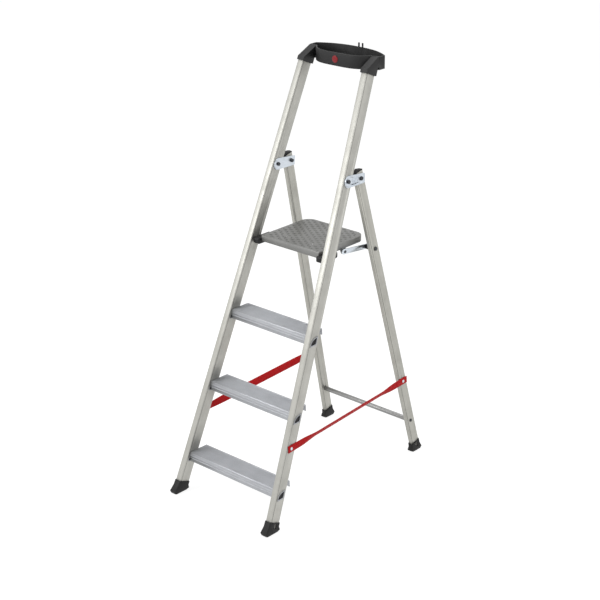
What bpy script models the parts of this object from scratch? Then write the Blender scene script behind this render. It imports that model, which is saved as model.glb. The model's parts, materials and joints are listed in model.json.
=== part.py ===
"""Folding platform step ladder: two leaning front stiles with treads, a fold-up platform,
two hinged rear stiles with a cross tube, and a tool tray that joins the stile tops.

Metres, +Z up. The user climbs from -Y towards +Y, and +X is the user's right hand.
Everything is laid out from a few driving sizes, then moved so that the middle of the
footprint is the origin.
"""

from math import asin, atan, atan2, cos, pi, radians, sin, tan

import bmesh
import bpy
from mathutils import Matrix, Vector

# Overall layout
STEP_RISE = 0.240
TREAD_NAMES = ("lower", "middle", "upper")
FIRST_STEP_HEIGHT = 0.142
PLATFORM_RISE = 0.248
FRONT_LEAN = radians(21.93)
REAR_LEAN = radians(14.34)
BASE_HALF_WIDTH = 0.2258
FRONT_TAPER = atan(0.05065)
REAR_TAPER = atan(0.0470)
HINGE_ABOVE_PLATFORM = 0.221
GUARD_LENGTH = 0.341

# Fits
GAP = 0.0003
HOLE_CLEARANCE = 0.0004
HINGE_PLAY = 0.0010
SWING_PLAY = 0.0014
CUT_OVERRUN = 0.004

# Extruded stiles
FRONT_WIDTH = 0.022
FRONT_DEPTH = 0.045
REAR_WIDTH = 0.0145
REAR_DEPTH = 0.0394
STILE_WALL = 0.0018
STILE_CORNER = 0.0025
GROOVE_FROM_FRONT = 0.0048
GROOVE_WIDTH = 0.0012
GROOVE_DEPTH = 0.0009
REAR_HEAD = 0.024
REAR_CAP_HEIGHT = 0.0095
REAR_CAP_FRONT = 0.0045
REAR_CAP_BACK = 0.0025
REAR_CAP_TONGUE = 0.010

# Shoes
SHOE_WALL = 0.0028
SOLE_THICKNESS = 0.005
SHOE_HEIGHT = 0.037
SHOE_FLARE = 0.009
SHOE_FLARE_HEIGHT = 0.008
SHOE_SOLE_INSET = 0.010
SHOE_WAIST = 0.6
SHOE_CORNER = 0.005
WINDOW_WIDTH = 0.0075
WINDOW_LENGTH = 0.017

# Treads
TREAD_DEPTH = 0.081
TREAD_HEIGHT = 0.033
TREAD_SETBACK = 0.006
TREAD_WALL = 0.0022
TREAD_REAR_FLANGE = 0.024
TREAD_LIP = 0.010
TREAD_NOSE = 0.0035
RIB_PITCH = 0.0052
RIB_DEPTH = 0.0010
NOSE_RIDGES = (0.0115, 0.0205)
NOSE_RIDGE = 0.0010

# D-shaped tread tubes through the stiles, and their plugs
SOCKET_DEPTH = 0.032
SOCKET_HEIGHT = 0.024
SOCKET_DROP = 0.0205
SOCKET_FROM_FRONT = 0.0235
SOCKET_WALL = 0.0016
SOCKET_RIM = 0.0020
SOCKET_RIM_THICKNESS = 0.0014
SOCKET_REACH = 0.014
SOCKET_CROWN = 0.003
SOCKET_STEPS = 8
PLUG_RECESS = 0.0015
PLUG_LENGTH = 0.012

# Platform and its struts
PLATFORM_HALF_WIDTH = 0.129
PLATFORM_DEPTH = 0.240
PLATFORM_HEIGHT = 0.021
PLATFORM_SHEET = 0.0025
PLATFORM_SETBACK = 0.014
PLATFORM_REAR_CORNER = 0.034
PLATFORM_FRONT_CORNER = 0.004
PLATFORM_PIVOT_DEPTH = 0.0276
PLATFORM_PIVOT_DROP = 0.020
GRIP_SLOTS = ((-0.058, 0.050), (0.058, 0.050))
GRIP_SLOT_LENGTH = 0.013
GRIP_SLOT_WIDTH = 0.005
BUSH_FRONT = 0.021
BUSH_REAR = 0.060
BUSH_HALF_HEIGHT = 0.0105
PIVOT_RADIUS = 0.0045
PIVOT_COLLAR = 0.004
EAR_FOOT = 1.6
STRUT_DROP = 0.270
STRUT_SLOPE = radians(4.4)
STRUT_WIDTH = 0.018
STRUT_THICKNESS = 0.003
STRUT_STANDOFF = 0.0065
STRUT_TAIL = 0.006
EAR_RADIUS = 0.0105
RIVET_RADIUS = 0.0025
BOLT_RADIUS = 0.0035
BRACKET_RADIUS = 0.0095
BRACKET_FLANGE = 0.0135
BRACKET_FLANGE_THICKNESS = 0.004

# Hinge plates
HINGE_SETBACK = 0.088
HINGE_BOLT_SPAN = 0.0658
HINGE_TILT = radians(18.95)
HINGE_BOLT_RADIUS = 0.004
PLATE_NOSE_RADIUS = 0.0205
PLATE_TAIL = 0.0165
PLATE_TAIL_HALF_HEIGHT = 0.0170
PLATE_THICKNESS = 0.0030
PLATE_POCKET = 0.0014
PLATE_RIM = 0.0032
PLATE_RIBS = 5
PLATE_RIB_PITCH = 0.0062
PLATE_RIB_WIDTH = 0.0022
PLATE_RIB_HALF_LENGTH = 0.0105
BOLT_HEAD_RADIUS = 0.0068
BOLT_HEAD_HEIGHT = 0.0042
PIVOT_FROM_REAR_FRONT_FACE = 0.0228

# Cross tube
CROSS_TUBE_RADIUS = 0.0085
CROSS_TUBE_WALL = 0.0014
CROSS_TUBE_HEIGHT = 0.130
CROSS_BOLT_REACH = 0.020

# Straps
STRAP_WIDTH = 0.025
STRAP_THICKNESS = 0.0015
STRAP_FRONT_HEIGHT = 0.270
STRAP_REAR_HEIGHT = 0.299
STRAP_FRONT_TAIL = 0.014
STRAP_REAR_TAIL = 0.022
STRAP_FLAT = 0.020
STRAP_SEAT = 0.0008
STRAP_TWIST = radians(62.0)
STRAP_TWIST_RUN = 0.30
STRAP_TWIST_STEPS = 12
STRAP_RIVET_HEAD = 0.0055
STRAP_RIVET_LENGTH = 0.0085

# Tray
TRAY_RIM_ABOVE_CAP = 0.042
TRAY_FRONT_SETBACK = 0.0168
TRAY_SHOULDER = 0.004
TRAY_LEDGE_HEIGHT = 0.0132
WELL_FROM_FRONT = 0.030
WELL_DEPTH = 0.064
WELL_CORNER = 0.010
TRAY_HEIGHT = 0.044
TRAY_WALL = 0.003
TRAY_FLOOR = 0.003
TRAY_CAP_FROM_TOP = 0.010
TRAY_FRONT_BULGE = 0.043
TRAY_FRONT_POWER = 4.0
TRAY_BACK_BULGE = 0.043
TRAY_BACK_POWER = 2.5
TRAY_MIDDLE_DEPTH = 0.119
TRAY_EDGE_POINTS = 20
CAP_WALL = 0.0026
CAP_FRONT_HEIGHT = 0.0125
CAP_STEP_RISE = 0.029
CAP_STEP = 0.013
HOOK_X = (0.0045, 0.0205)
HOOK_WIDTH = 0.0062
HOOK_DEPTH = 0.0052
HOOK_RISE = 0.014
BADGE_RADIUS = 0.012
BADGE_THICKNESS = 0.0018

ROUND_STEPS = 16
SIDES = (("left", -1), ("right", 1))

# Lengths and places that follow from the sizes above, as (y, z) in the side view
PLATFORM_TOP = FIRST_STEP_HEIGHT + (len(TREAD_NAMES) - 1) * STEP_RISE + PLATFORM_RISE
HINGE_HEIGHT = PLATFORM_TOP + HINGE_ABOVE_PLATFORM
HINGE_ALONG = (HINGE_HEIGHT + HINGE_SETBACK * sin(FRONT_LEAN)) / cos(FRONT_LEAN)
STILE_TOP = HINGE_ALONG + GUARD_LENGTH
PIVOT_HEIGHT = PLATFORM_TOP - PLATFORM_PIVOT_DROP
PIVOT_ALONG = (PIVOT_HEIGHT + PLATFORM_PIVOT_DEPTH * sin(FRONT_LEAN)) / cos(FRONT_LEAN)
FOLD_ANGLE = FRONT_LEAN + REAR_LEAN
PLATFORM_FOLD = pi / 2 - FRONT_LEAN


def side_view(setback, along):
    """The (y, z) of a point `along` the front stiles and `setback` behind their front face."""
    return Vector((setback * cos(FRONT_LEAN) + along * sin(FRONT_LEAN),
                   along * cos(FRONT_LEAN) - setback * sin(FRONT_LEAN)))


def from_side_view(point):
    """The (setback, along) of a (y, z) point: side_view turned round."""
    return (point[0] * cos(FRONT_LEAN) - point[1] * sin(FRONT_LEAN),
            point[0] * sin(FRONT_LEAN) + point[1] * cos(FRONT_LEAN))


def turned_2d(vector, angle):
    return Vector((vector[0] * cos(angle) - vector[1] * sin(angle),
                   vector[0] * sin(angle) + vector[1] * cos(angle)))


HINGE_POINT = side_view(HINGE_SETBACK, HINGE_ALONG)
PIVOT_POINT = side_view(PLATFORM_PIVOT_DEPTH, PIVOT_ALONG)
REAR_DOWN = Vector((sin(REAR_LEAN), -cos(REAR_LEAN)))
STRUT_REAR = HINGE_POINT + STRUT_DROP * REAR_DOWN


def strut_front_point():
    """Where the strut meets the platform, so that its length is the same open and folded."""
    rear = STRUT_REAR - PIVOT_POINT
    folded = HINGE_POINT + turned_2d(STRUT_REAR - HINGE_POINT, -FOLD_ANGLE) - PIVOT_POINT
    aim = Vector((cos(STRUT_SLOPE), -sin(STRUT_SLOPE)))
    aim_folded = turned_2d(aim, PLATFORM_FOLD)
    radius = (rear.dot(rear) - folded.dot(folded)) / (2 * (aim.dot(rear) - aim_folded.dot(folded)))
    return PIVOT_POINT + radius * aim


STRUT_FRONT = strut_front_point()
STRUT_LENGTH = (STRUT_REAR - STRUT_FRONT).length


def front_half_width(along):
    """Outer half width over the front stiles, at a distance along their middle plane."""
    return BASE_HALF_WIDTH - along * tan(FRONT_TAPER)


HINGE_HALF_WIDTH = front_half_width(HINGE_ALONG) - (HINGE_PLAY - GAP)


# ---------------------------------------------------------------- helpers

for leftover in list(bpy.data.objects):
    bpy.data.objects.remove(leftover)

parts = bpy.data.collections.new("platform_step_ladder")
cutters = bpy.data.collections.new("ladder_cutters")
bpy.context.scene.collection.children.link(parts)
bpy.context.scene.collection.children.link(cutters)


def finish(name, colour, roughness, metallic):
    material = bpy.data.materials.new(name)
    material.use_nodes = True
    shader = material.node_tree.nodes["Principled BSDF"]
    shader.inputs["Base Color"].default_value = (*colour, 1.0)
    shader.inputs["Roughness"].default_value = roughness
    shader.inputs["Metallic"].default_value = metallic
    material.diffuse_color = (*colour, 1.0)
    return material


ALUMINIUM = finish("mill_aluminium", (0.62, 0.61, 0.57), 0.38, 1.0)
TREAD_METAL = finish("tread_aluminium", (0.60, 0.61, 0.64), 0.42, 1.0)
DECK_METAL = finish("deck_aluminium", (0.42, 0.42, 0.40), 0.50, 1.0)
ZINC = finish("zinc_plate", (0.66, 0.70, 0.75), 0.35, 1.0)
DARK_STEEL = finish("dark_steel", (0.06, 0.065, 0.07), 0.45, 0.8)
BLACK_PLASTIC = finish("black_plastic", (0.025, 0.025, 0.026), 0.55, 0.0)
RUBBER = finish("shoe_rubber", (0.012, 0.012, 0.012), 0.75, 0.0)
STRAP_RED = finish("red_webbing", (0.55, 0.02, 0.025), 0.70, 0.0)
BADGE_RED = finish("red_badge", (0.50, 0.03, 0.05), 0.30, 0.0)


def empty(name, parent=None, matrix=Matrix()):
    frame = bpy.data.objects.new(name, None)
    frame.empty_display_size = 0.05
    parts.objects.link(frame)
    frame.parent = parent
    frame.matrix_local = matrix
    return frame


def add(name, mesh, parent, matrix, material):
    """A named part with its mesh, its finish and its place under a frame."""
    part = bpy.data.objects.new(name, mesh)
    parts.objects.link(part)
    part.parent = parent
    part.matrix_local = matrix
    part.data.materials.clear()
    part.data.materials.append(material)
    return part


def helper(mesh, parent, matrix):
    """A solid that only cuts or joins."""
    tool = bpy.data.objects.new("cutter", mesh)
    tool.parent = parent
    tool.matrix_local = matrix
    tool.hide_render = True
    tool.display_type = "WIRE"
    return tool


def combine(part, tools, operation="DIFFERENCE"):
    """Cuts all the tools from a part, or joins them to it, in one step."""
    group = bpy.data.collections.new(f"{part.name}_{operation.lower()}")
    group.hide_render = True
    cutters.children.link(group)
    for tool in tools:
        group.objects.link(tool)
    boolean = part.modifiers.new(operation.lower(), "BOOLEAN")
    boolean.operation = operation
    boolean.solver = "EXACT"
    boolean.operand_type = "COLLECTION"
    boolean.collection = group


def prism(loops, thickness, start=0.0):
    """A flat outline with holes, as a mesh that rises from z = start by thickness."""
    curve = bpy.data.curves.new("outline", "CURVE")
    curve.dimensions = "2D"
    curve.fill_mode = "BOTH"
    curve.extrude = thickness / 2
    for loop in loops:
        spline = curve.splines.new("POLY")
        spline.points.add(len(loop) - 1)
        for point, place in zip(spline.points, loop):
            point.co = (place[0], place[1], 0.0, 1.0)
        spline.use_cyclic_u = True
    outline = bpy.data.objects.new("outline", curve)
    bpy.context.scene.collection.objects.link(outline)
    evaluated = outline.evaluated_get(bpy.context.evaluated_depsgraph_get())
    mesh = bpy.data.meshes.new_from_object(evaluated)
    bpy.data.objects.remove(outline)
    bpy.data.curves.remove(curve)
    shape = bmesh.new()
    shape.from_mesh(mesh)
    bmesh.ops.remove_doubles(shape, verts=shape.verts, dist=0.00001)
    bmesh.ops.translate(shape, verts=shape.verts, vec=(0.0, 0.0, start + thickness / 2))
    bmesh.ops.recalc_face_normals(shape, faces=shape.faces)
    shape.to_mesh(mesh)
    shape.free()
    mesh.materials.clear()
    return mesh


def turned(profile, steps=ROUND_STEPS):
    """A solid of revolution about Z from (radius, height) points that run down its outside."""
    shape = bmesh.new()
    points = [shape.verts.new((radius, 0.0, height)) for radius, height in profile]
    edges = [shape.edges.new(pair) for pair in zip(points, points[1:])]
    if profile[0][0] > 0.0:
        edges.append(shape.edges.new((points[-1], points[0])))
    bmesh.ops.spin(shape, geom=points + edges, cent=(0.0, 0.0, 0.0), axis=(0.0, 0.0, 1.0),
                   angle=2 * pi, steps=steps, use_duplicate=False)
    bmesh.ops.remove_doubles(shape, verts=shape.verts, dist=0.00001)
    bmesh.ops.recalc_face_normals(shape, faces=shape.faces)
    mesh = bpy.data.meshes.new("turned")
    shape.to_mesh(mesh)
    shape.free()
    mesh.shade_smooth()
    mesh.set_sharp_from_angle(angle=radians(35.0))
    return mesh


def rod(radius, low, high, steps=ROUND_STEPS):
    return turned([(0.0, high), (radius, high), (radius, low), (0.0, low)], steps)


def bolt(head_radius, head_height, shank_radius, shank_length, nut_radius=0.0, nut_height=0.0):
    """A round-headed fastener: the head sits on z = 0, and the shank runs down."""
    crown = [(head_radius * sin(a), head_height * (0.55 + 0.45 * cos(a)))
             for a in (0.0, pi / 6, pi / 3, pi / 2)]
    tip = [(shank_radius, -shank_length), (0.0, -shank_length)]
    if nut_height:
        tip = [(shank_radius, -shank_length), (nut_radius, -shank_length),
               (nut_radius, -shank_length - nut_height), (0.0, -shank_length - nut_height)]
    return turned(crown + [(head_radius, 0.0), (shank_radius, 0.0)] + tip)


def arc(centre, radius, start, end, count):
    """Points of an arc from start to end, in radians, both ends included."""
    angles = [start + (end - start) * i / count for i in range(count + 1)]
    return [(centre[0] + radius * cos(a), centre[1] + radius * sin(a)) for a in angles]


def rounded_box(low, high, radius, count=3):
    """A rectangle with rounded corners, counter-clockwise."""
    corners = ((high[0] - radius, high[1] - radius, 0.0), (low[0] + radius, high[1] - radius, pi / 2),
               (low[0] + radius, low[1] + radius, pi), (high[0] - radius, low[1] + radius, 3 * pi / 2))
    return [point for x, y, start in corners for point in arc((x, y), radius, start, start + pi / 2, count)]


def circle(centre, radius, count=ROUND_STEPS):
    return arc(centre, radius, 0.0, 2 * pi, count)[:-1]


def capsule(centre, half_length, radius, angle=0.0):
    """A slot outline with round ends, its long axis at an angle."""
    loop = arc((half_length - radius, 0.0), radius, -pi / 2, pi / 2, 6)
    loop += arc((radius - half_length, 0.0), radius, pi / 2, 3 * pi / 2, 6)
    return [tuple(Vector(centre) + turned_2d(point, angle)) for point in loop]


def mirrored(loop, side):
    """An outline for the right side (+1) as it is, and for the left side (-1) with x turned over."""
    return [(side * x, y) for x, y in loop]


# Local z becomes +X, local x becomes +Y, local y becomes +Z: for outlines drawn in a side view
SIDEWAYS = Matrix(((0, 0, 1, 0), (1, 0, 0, 0), (0, 1, 0, 0), (0, 0, 0, 1)))


def across(side, x, y, z):
    """Places a turned part with its own z pointing outwards along X on the given side."""
    return Matrix.Translation((x, y, z)) @ Matrix.Rotation(side * pi / 2, 4, "Y")


def slab(loops, side, low, thickness):
    """A side-view outline as a plate that starts `low` outwards along X on that side."""
    mesh = prism(loops, thickness)
    mesh.transform(Matrix.Translation((low if side > 0 else -low - thickness, 0.0, 0.0)) @ SIDEWAYS)
    return mesh


# ---------------------------------------------------------------- frames

root = empty("ladder_root")
front = empty("front_frame", root, Matrix.Rotation(-FRONT_LEAN, 4, "X"))
rear = empty("rear_frame", root, Matrix.Translation((0.0, *HINGE_POINT))
             @ Matrix.Rotation(REAR_LEAN, 4, "X"))
deck = empty("platform_frame", root, Matrix.Translation((0.0, *PIVOT_POINT)))


def front_stile_frame(side):
    """At the outer front corner on the floor line, z along the stile."""
    return (Matrix.Translation((side * BASE_HALF_WIDTH, 0.0, 0.0))
            @ Matrix.Rotation(-side * FRONT_TAPER, 4, "Y"))


def rear_stile_frame(side):
    """On the hinge axis at the outer face, z along the stile."""
    return (Matrix.Translation((side * HINGE_HALF_WIDTH, 0.0, 0.0))
            @ Matrix.Rotation(-side * REAR_TAPER, 4, "Y"))


stile_frames = {}
rear_frames = {}
strut_frames = {}
for side_name, side in SIDES:
    stile_frames[side] = empty(f"front_stile_frame_{side_name}", front, front_stile_frame(side))
    rear_frames[side] = empty(f"rear_stile_frame_{side_name}", rear, rear_stile_frame(side))
    strut_frames[side] = empty(f"strut_frame_{side_name}", root, Matrix.Translation((0.0, *STRUT_REAR)))


def along_stile(along):
    """Distance along the front frame, measured on the slanting outer face."""
    return along / cos(FRONT_TAPER)


def along_rear(height):
    """Distance along the rear frame, measured on the slanting outer face."""
    return height / cos(REAR_TAPER)


# ---------------------------------------------------------------- stiles

def stile_section(width, depth, grooves):
    """Outer outline of a stile: outer face on x = 0, front face on y = 0, grooves near the front."""
    low, high = GROOVE_FROM_FRONT, GROOVE_FROM_FRONT + GROOVE_WIDTH
    corner = STILE_CORNER
    loop = arc((-corner, corner), corner, -pi / 2, 0.0, 3)
    loop += [(0.0, low), (-GROOVE_DEPTH, low), (-GROOVE_DEPTH, high), (0.0, high)]
    loop += arc((-corner, depth - corner), corner, 0.0, pi / 2, 3)
    loop += arc((corner - width, depth - corner), corner, pi / 2, pi, 3)
    if grooves == "both":
        inner = GROOVE_DEPTH - width
        loop += [(-width, high), (inner, high), (inner, low), (-width, low)]
    loop += arc((corner - width, corner), corner, pi, 3 * pi / 2, 3)
    return loop


def stile_bore(width, depth):
    inner_corner = STILE_CORNER - STILE_WALL / 2
    return rounded_box((STILE_WALL - width, STILE_WALL), (-STILE_WALL, depth - STILE_WALL), inner_corner, 2)


def lowest_along(depth, lean, sole):
    """Where a square-cut stile end starts so that it stays the sole's thickness off the floor."""
    return (sole + depth * sin(abs(lean))) / cos(lean)


FRONT_START = lowest_along(FRONT_DEPTH, FRONT_LEAN, SOLE_THICKNESS)
REAR_FLOOR = -(HINGE_HEIGHT / cos(REAR_LEAN))
REAR_START = REAR_FLOOR + (SOLE_THICKNESS + (PIVOT_FROM_REAR_FRONT_FACE * sin(REAR_LEAN))) / cos(REAR_LEAN)


def square_hole(frame, side, depth, along, radius, inwards):
    """A round cutter square to a stile's outer face, to a distance inwards."""
    return helper(rod(radius, -inwards, CUT_OVERRUN), frame, across(side, 0.0, depth, along))


def level_hole(side, point, radius, near, far):
    """A round cutter along X at a (y, z) point, between two distances from the middle plane."""
    return helper(rod(radius, near, far), root, across(side, 0.0, *point))


def front_stile(side_name, side):
    loops = [mirrored(stile_section(FRONT_WIDTH, FRONT_DEPTH, "outer"), side),
             mirrored(stile_bore(FRONT_WIDTH, FRONT_DEPTH), side)]
    start = along_stile(FRONT_START)
    mesh = prism(loops, along_stile(STILE_TOP) - start, start)
    frame = stile_frames[side]
    part = add(f"front_stile_{side_name}", mesh, frame, Matrix(), ALUMINIUM)
    bolt_depth, bolt_along = hinge_front_bolt()
    strap_depth, strap_along = strap_front_rivet()
    inner = inner_half_width(*PIVOT_POINT)
    tools = [square_hole(frame, side, bolt_depth, along_stile(bolt_along),
                         HINGE_BOLT_RADIUS + HOLE_CLEARANCE, FRONT_WIDTH + CUT_OVERRUN),
             square_hole(frame, side, strap_depth, along_stile(strap_along),
                         RIVET_RADIUS + HOLE_CLEARANCE, FRONT_WIDTH / 2),
             level_hole(side, PIVOT_POINT, PIVOT_RADIUS + HOLE_CLEARANCE, inner - CUT_OVERRUN,
                        inner + FRONT_WIDTH / 2)]
    for index in range(len(TREAD_NAMES)):
        hole = slab([socket_loop(index, HOLE_CLEARANCE)], side, -FRONT_WIDTH - CUT_OVERRUN,
                    FRONT_WIDTH + 2 * CUT_OVERRUN)
        tools.append(helper(hole, frame, Matrix()))
    combine(part, tools)


def rear_stile(side_name, side):
    frame = rear_frames[side]
    loops = [[(x, y - PIVOT_FROM_REAR_FRONT_FACE) for x, y in mirrored(loop, side)]
             for loop in (stile_section(REAR_WIDTH, REAR_DEPTH, "both"), stile_bore(REAR_WIDTH, REAR_DEPTH))]
    mesh = prism(loops, REAR_HEAD - REAR_START, REAR_START)
    part = add(f"rear_stile_{side_name}", mesh, frame, Matrix(), ALUMINIUM)
    strap_depth, strap_height = strap_rear_rivet()
    tools = [square_hole(frame, side, strap_depth, along_rear(strap_height), RIVET_RADIUS + HOLE_CLEARANCE,
                         REAR_WIDTH / 2)]
    tube_depth, tube_height = cross_tube_place()
    tube_point = HINGE_POINT + turned_2d((tube_depth, tube_height), REAR_LEAN)
    level = ((HINGE_POINT, HINGE_BOLT_RADIUS), (STRUT_REAR, BOLT_RADIUS), (tube_point, RIVET_RADIUS))
    for point, radius in level:
        tools.append(level_hole(side, point, radius + HOLE_CLEARANCE, HINGE_HALF_WIDTH - 2 * REAR_WIDTH,
                                BASE_HALF_WIDTH + REAR_WIDTH))
    combine(part, tools)


def rear_cap(side_name, side):
    """The black end plug on top of a rear stile: a peaked cap with a tongue in the bore."""
    front_face = -PIVOT_FROM_REAR_FRONT_FACE
    back_face = front_face + REAR_DEPTH
    seat = REAR_HEAD + GAP
    peak = REAR_HEAD + REAR_CAP_HEIGHT
    loop = [(front_face, seat), (back_face, seat), (back_face, seat + REAR_CAP_BACK),
            (front_face + 0.55 * REAR_DEPTH, peak), (front_face + 0.3 * REAR_DEPTH, peak),
            (front_face, seat + REAR_CAP_FRONT)]
    part = add(f"rear_stile_cap_{side_name}", slab([loop], side, -REAR_WIDTH, REAR_WIDTH), rear_frames[side],
               Matrix(), BLACK_PLASTIC)
    inset = STILE_WALL + GAP
    tongue = rounded_box((inset - REAR_WIDTH, front_face + inset), (-inset, back_face - inset),
                         STILE_CORNER / 3, 1)
    tool = helper(prism([mirrored(tongue, side)], REAR_CAP_TONGUE + CUT_OVERRUN / 2,
                        REAR_HEAD - REAR_CAP_TONGUE), rear_frames[side], Matrix())
    combine(part, [tool], "UNION")


# ---------------------------------------------------------------- shoes

def shoe_ring(centre, half_x, fore, aft, slope, corner):
    """One ring of a shoe: a rounded rectangle round a point, sloping down towards the back."""
    lean = Vector((0.0, cos(slope), -sin(slope)))
    points = rounded_box((-half_x, -fore), (half_x, aft), corner, 3)
    return [Vector(centre) + Vector((x, 0.0, 0.0)) + y * lean for x, y in points]


def loft(rings):
    """A closed solid through rings of equal length, from the bottom ring to the top one."""
    shape = bmesh.new()
    levels = [[shape.verts.new(point) for point in ring] for ring in rings]
    for below, above in zip(levels, levels[1:]):
        for i in range(len(below)):
            j = (i + 1) % len(below)
            shape.faces.new((below[i], below[j], above[j], above[i]))
    shape.faces.new(list(reversed(levels[0])))
    shape.faces.new(levels[-1])
    bmesh.ops.recalc_face_normals(shape, faces=shape.faces)
    mesh = bpy.data.meshes.new("loft")
    shape.to_mesh(mesh)
    shape.free()
    return mesh


def shoe(name, side, frame, frame_matrix, lean, width, depth, face, start):
    """A rubber shoe with a flared, rounded sole, a pocket for the stile and a window on its outside.

    frame_matrix takes the stile's own axes to the side view, face is the depth of the stile's
    front face and start is where the stile ends along it.
    """
    def middle(height):
        foot = frame_matrix @ Vector((-side * width / 2, face + depth / 2, 0.0))
        run = frame_matrix.to_3x3() @ Vector((0.0, 0.0, 1.0))
        return foot + run * ((height - foot.z) / run.z)

    half_x = width / 2 + SHOE_WALL
    half_y = depth / 2 + SHOE_WALL
    level_y = half_y / cos(lean)
    rings = [
        shoe_ring(middle(0.0), half_x - SHOE_FLARE / 4, level_y - SHOE_SOLE_INSET + SHOE_FLARE / 2,
                  level_y - SHOE_SOLE_INSET, 0.0, SHOE_CORNER),
        shoe_ring(middle(SHOE_FLARE_HEIGHT / 4), half_x + SHOE_FLARE / 18, level_y + SHOE_FLARE / 3,
                  level_y - SHOE_FLARE / 4, 0.0, SHOE_CORNER),
        shoe_ring(middle(SHOE_FLARE_HEIGHT), half_x + SHOE_FLARE / 6, level_y + SHOE_FLARE,
                  level_y + SHOE_FLARE / 2, lean * 0.2, SHOE_CORNER),
        shoe_ring(middle(SHOE_HEIGHT * SHOE_WAIST), half_x, half_y + SHOE_FLARE / 5, half_y,
                  lean * 0.7, SHOE_CORNER),
        shoe_ring(middle(SHOE_HEIGHT), half_x, half_y, half_y, lean, SHOE_CORNER),
    ]
    part = add(name, loft(rings), root, Matrix(), RUBBER)
    pocket = rounded_box((-width - GAP, face - GAP), (GAP, face + depth + GAP), STILE_CORNER + GAP, 3)
    reach = 2 * SHOE_HEIGHT
    window = capsule((face + depth * 0.56, start + SHOE_HEIGHT * 0.36), WINDOW_LENGTH / 2,
                     WINDOW_WIDTH / 2, pi / 2)
    opening = slab([window], side, -GAP / 2, SHOE_WALL + CUT_OVERRUN)
    combine(part, [helper(prism([mirrored(pocket, side)], reach, start - GAP), root, frame_matrix),
                   helper(opening, root, frame_matrix)])


# ---------------------------------------------------------------- treads and their sockets

def tread_front(index):
    """(y, z) of the tread's upper front edge."""
    top = FIRST_STEP_HEIGHT + index * STEP_RISE
    return Vector((top * tan(FRONT_LEAN) + TREAD_SETBACK, top))


def tread_profile():
    """Side view of the tread extrusion from its upper front edge: ribbed top, ridged nose, open below."""
    loop = [(0.0, -TREAD_HEIGHT)]
    for ridge in reversed(NOSE_RIDGES):
        half = NOSE_RIDGE / 2
        loop += [(0.0, -ridge - 2 * half), (-NOSE_RIDGE, -ridge - half), (-NOSE_RIDGE, -ridge + half),
                 (0.0, -ridge + 2 * half)]
    loop += list(reversed(arc((TREAD_NOSE, -TREAD_NOSE), TREAD_NOSE, pi / 2, pi, 4)))
    ribs = int((TREAD_DEPTH - 2 * TREAD_NOSE) / RIB_PITCH)
    start = (TREAD_DEPTH - ribs * RIB_PITCH) / 2
    for rib in range(ribs):
        low = start + rib * RIB_PITCH + RIB_PITCH * 0.30
        high = start + (rib + 1) * RIB_PITCH - RIB_PITCH * 0.30
        loop += [(low, 0.0), (low + RIB_DEPTH / 2, -RIB_DEPTH), (high - RIB_DEPTH / 2, -RIB_DEPTH),
                 (high, 0.0)]
    loop += list(reversed(arc((TREAD_DEPTH - TREAD_NOSE, -TREAD_NOSE), TREAD_NOSE, 0.0, pi / 2, 3)))
    under = -TREAD_WALL - RIB_DEPTH
    loop += [(TREAD_DEPTH, -TREAD_REAR_FLANGE), (TREAD_DEPTH - TREAD_WALL, -TREAD_REAR_FLANGE),
             (TREAD_DEPTH - TREAD_WALL, under), (TREAD_WALL, under),
             (TREAD_WALL, TREAD_WALL - TREAD_HEIGHT), (TREAD_LIP, TREAD_WALL - TREAD_HEIGHT),
             (TREAD_LIP, -TREAD_HEIGHT)]
    return loop


def inner_half_width(y, z):
    """Half the clear width between the front stiles' inner faces at a (y, z) point."""
    along = from_side_view((y, z))[1]
    return front_half_width(along) - FRONT_WIDTH / cos(FRONT_TAPER)


def mitre(mesh, half_width_at):
    """Moves the two ends of a bar that lies along X onto slanting planes."""
    for vertex in mesh.vertices:
        reach = half_width_at(vertex.co.y, vertex.co.z)
        vertex.co.x = reach if vertex.co.x > 0.0 else -reach


def tread(index, name):
    front_y, top = tread_front(index)
    mesh = prism([tread_profile()], 2 * BASE_HALF_WIDTH, -BASE_HALF_WIDTH)
    mesh.transform(Matrix.Translation((0.0, front_y, top)) @ SIDEWAYS)
    mitre(mesh, lambda y, z: inner_half_width(y, z) - GAP)
    add(f"{name}_tread", mesh, root, Matrix(), TREAD_METAL)


def socket_loop(index, grow):
    """The D of a tread tube in (setback, along) of the stile: level bottom, rear side along the stile."""
    half_depth = SOCKET_DEPTH / 2 + grow
    half_height = SOCKET_HEIGHT / 2 + grow
    shear = tan(FRONT_LEAN)
    bottom_front = Vector((-half_depth, -half_height))
    bottom_rear = Vector((half_depth - half_height * shear, -half_height))
    top_rear = Vector((half_depth + half_height * shear, half_height))
    bend = Vector((SOCKET_CROWN - half_depth, half_height - SOCKET_CROWN / 3))
    curve = []
    for i in range(1, SOCKET_STEPS):
        t = i / SOCKET_STEPS
        curve.append((1 - t) ** 2 * top_rear + 2 * t * (1 - t) * bend + t ** 2 * bottom_front)
    front_y, top = tread_front(index)
    centre = Vector((front_y - TREAD_SETBACK + SOCKET_FROM_FRONT - SOCKET_DROP * shear, top - SOCKET_DROP))
    loop = []
    for point in [bottom_front, bottom_rear, top_rear] + curve:
        setback, along = from_side_view(centre + point)
        loop.append((setback, along_stile(along)))
    return loop


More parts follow.
